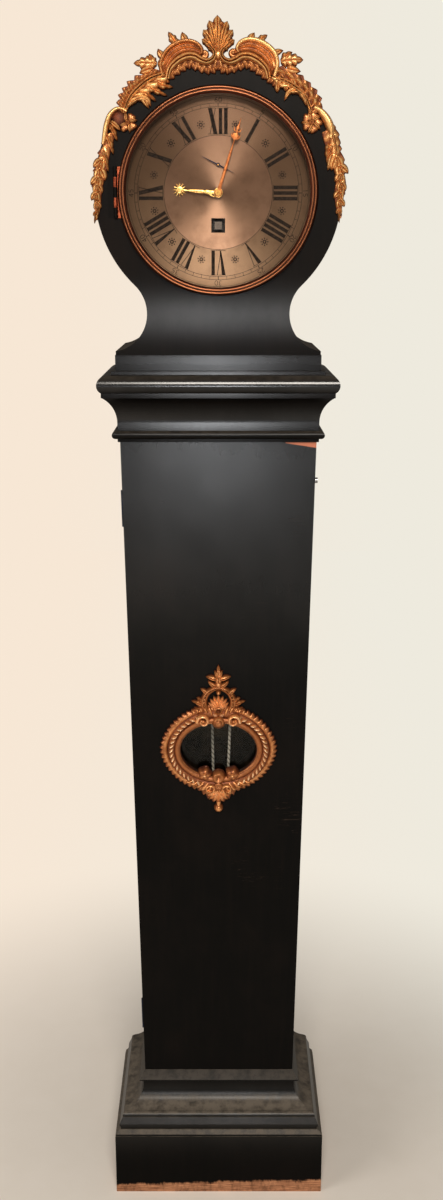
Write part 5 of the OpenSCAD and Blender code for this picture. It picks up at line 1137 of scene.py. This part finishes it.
lens_shells += [
    boss(0, 72, 9.0, 17, dish=0.8, dull=1.2),
    boss(0, 72, 3.4, 14, dull=0.5),
    boss(0, 82, 13.0, 6, dull=0.7),
    boss(0, 52, 12.5, 17, dull=1.1),
    boss(0, 52, 8.5, 22, dish=0.2, dull=0.9),
    boss(0, -48, 12.5, 19, dish=0.5, dull=1.1),
    boss(0, -64, 9.0, 15, dish=0.3, dull=0.9),
    leaf(-9, 66, 100, 9, 3.4, 15, 0, dull=1.5),
    leaf(9, 66, -100, 9, 3.4, 15, 0, dull=1.5),
    leaf(0, 48, 180, 9, 7.0, 9, 0, teeth=(2, 2)),
    boss(0, 104, 4.5, 12),
    boss(0, 118, 6.5, 10),
    leaf(0, 116, 0, 36, 7.5, 10, 0, teeth=(3, 3), count=24, across=13),
    leaf(0, 128, -20, 16, 4.2, 9, -10),
    leaf(0, 128, 20, 16, 4.2, 9, 10),
    carve([(0, -94, 5, 5, 7), (0, -99, 4, 4, 7), (0, -103, 5.4, 5.4, 8)], count=10),
    boss(0, -106.5, 8.0, 11),
]
lens_frame = piece("carved_lenticle_frame", lens_shells, lens_gilt, lens_ground)
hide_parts("lenticle_frame")
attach(lens_frame, "trunk_door")


# Gut line
# Twisted gut goes seven times round the barrel, down to the pulley on the
# weight and up again to its knot in the seatboard.
gut, gut_tree, gut_shader = finish("gut", roughness=0.55)
gut_spot = stretched(gut_tree, (260, 260, 230))
slant = maths(gut_tree, one_of(gut_tree, gut_spot, "X"), one_of(gut_tree, gut_spot, "Z"), "ADD")
lay = maths(gut_tree, slant, 1.0, "PINGPONG")
# Light and dark stripes along the lay: painted shade between the strands and painted highlight on them.
gut_colour = blended(gut_tree, step(gut_tree, lay, 0.0, 0.7), linear(120, 112, 102), linear(216, 208, 196))
feed(gut_tree, gut_shader, {"Base Color": gut_colour, "Normal": raised(gut_tree, lay, 0.0008)})
dress(gut, "line_bight", "line_coils")


def drawn_run(name, stands_for):
    """A round run between the middles of a CAD run's two ends, 1.4 mm in radius at both, as the rest of the
    line is, and 2.3 mm between them, where it hangs free."""
    points = np.empty(3 * len(node[stands_for].data.vertices))
    node[stands_for].data.vertices.foreach_get("co", points)
    points = points.reshape(-1, 3)
    low_ring = points[points[:, 2] < points[:, 2].min() + 0.0005]
    top_ring = points[points[:, 2] > points[:, 2].max() - 0.0005]
    low = (low_ring.min(axis=0) + low_ring.max(axis=0)) / 2
    top = (top_ring.min(axis=0) + top_ring.max(axis=0)) / 2
    around = 20
    stations = np.array([[0.0], [0.012], [0.988], [1.0]])
    radii = np.array([0.0014, 0.0023, 0.0023, 0.0014])
    turn = np.linspace(0, 2 * math.pi, around, endpoint=False)
    round_it = np.stack([np.cos(turn), np.sin(turn), np.zeros(around)], axis=1)
    rings = (low + stations * (top - low))[:, None, :] + radii[:, None, None] * round_it
    low_centre = len(radii) * around
    last_ring = low_centre - around
    faces = woven(len(radii), around, False).tolist()
    faces += [[(k + 1) % around, k, low_centre] for k in range(around)]
    faces += [[last_ring + k, last_ring + (k + 1) % around, low_centre + 1] for k in range(around)]
    made = built(name, np.vstack([rings.reshape(-1, 3), low, top]), faces, gut)
    made.data.polygons.foreach_set("use_smooth", [len(face) == 4 for face in faces])
    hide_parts(stands_for)
    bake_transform(made)


drawn_run("gut_run_left", "line_run_left")
drawn_run("gut_run_right", "line_run_right")
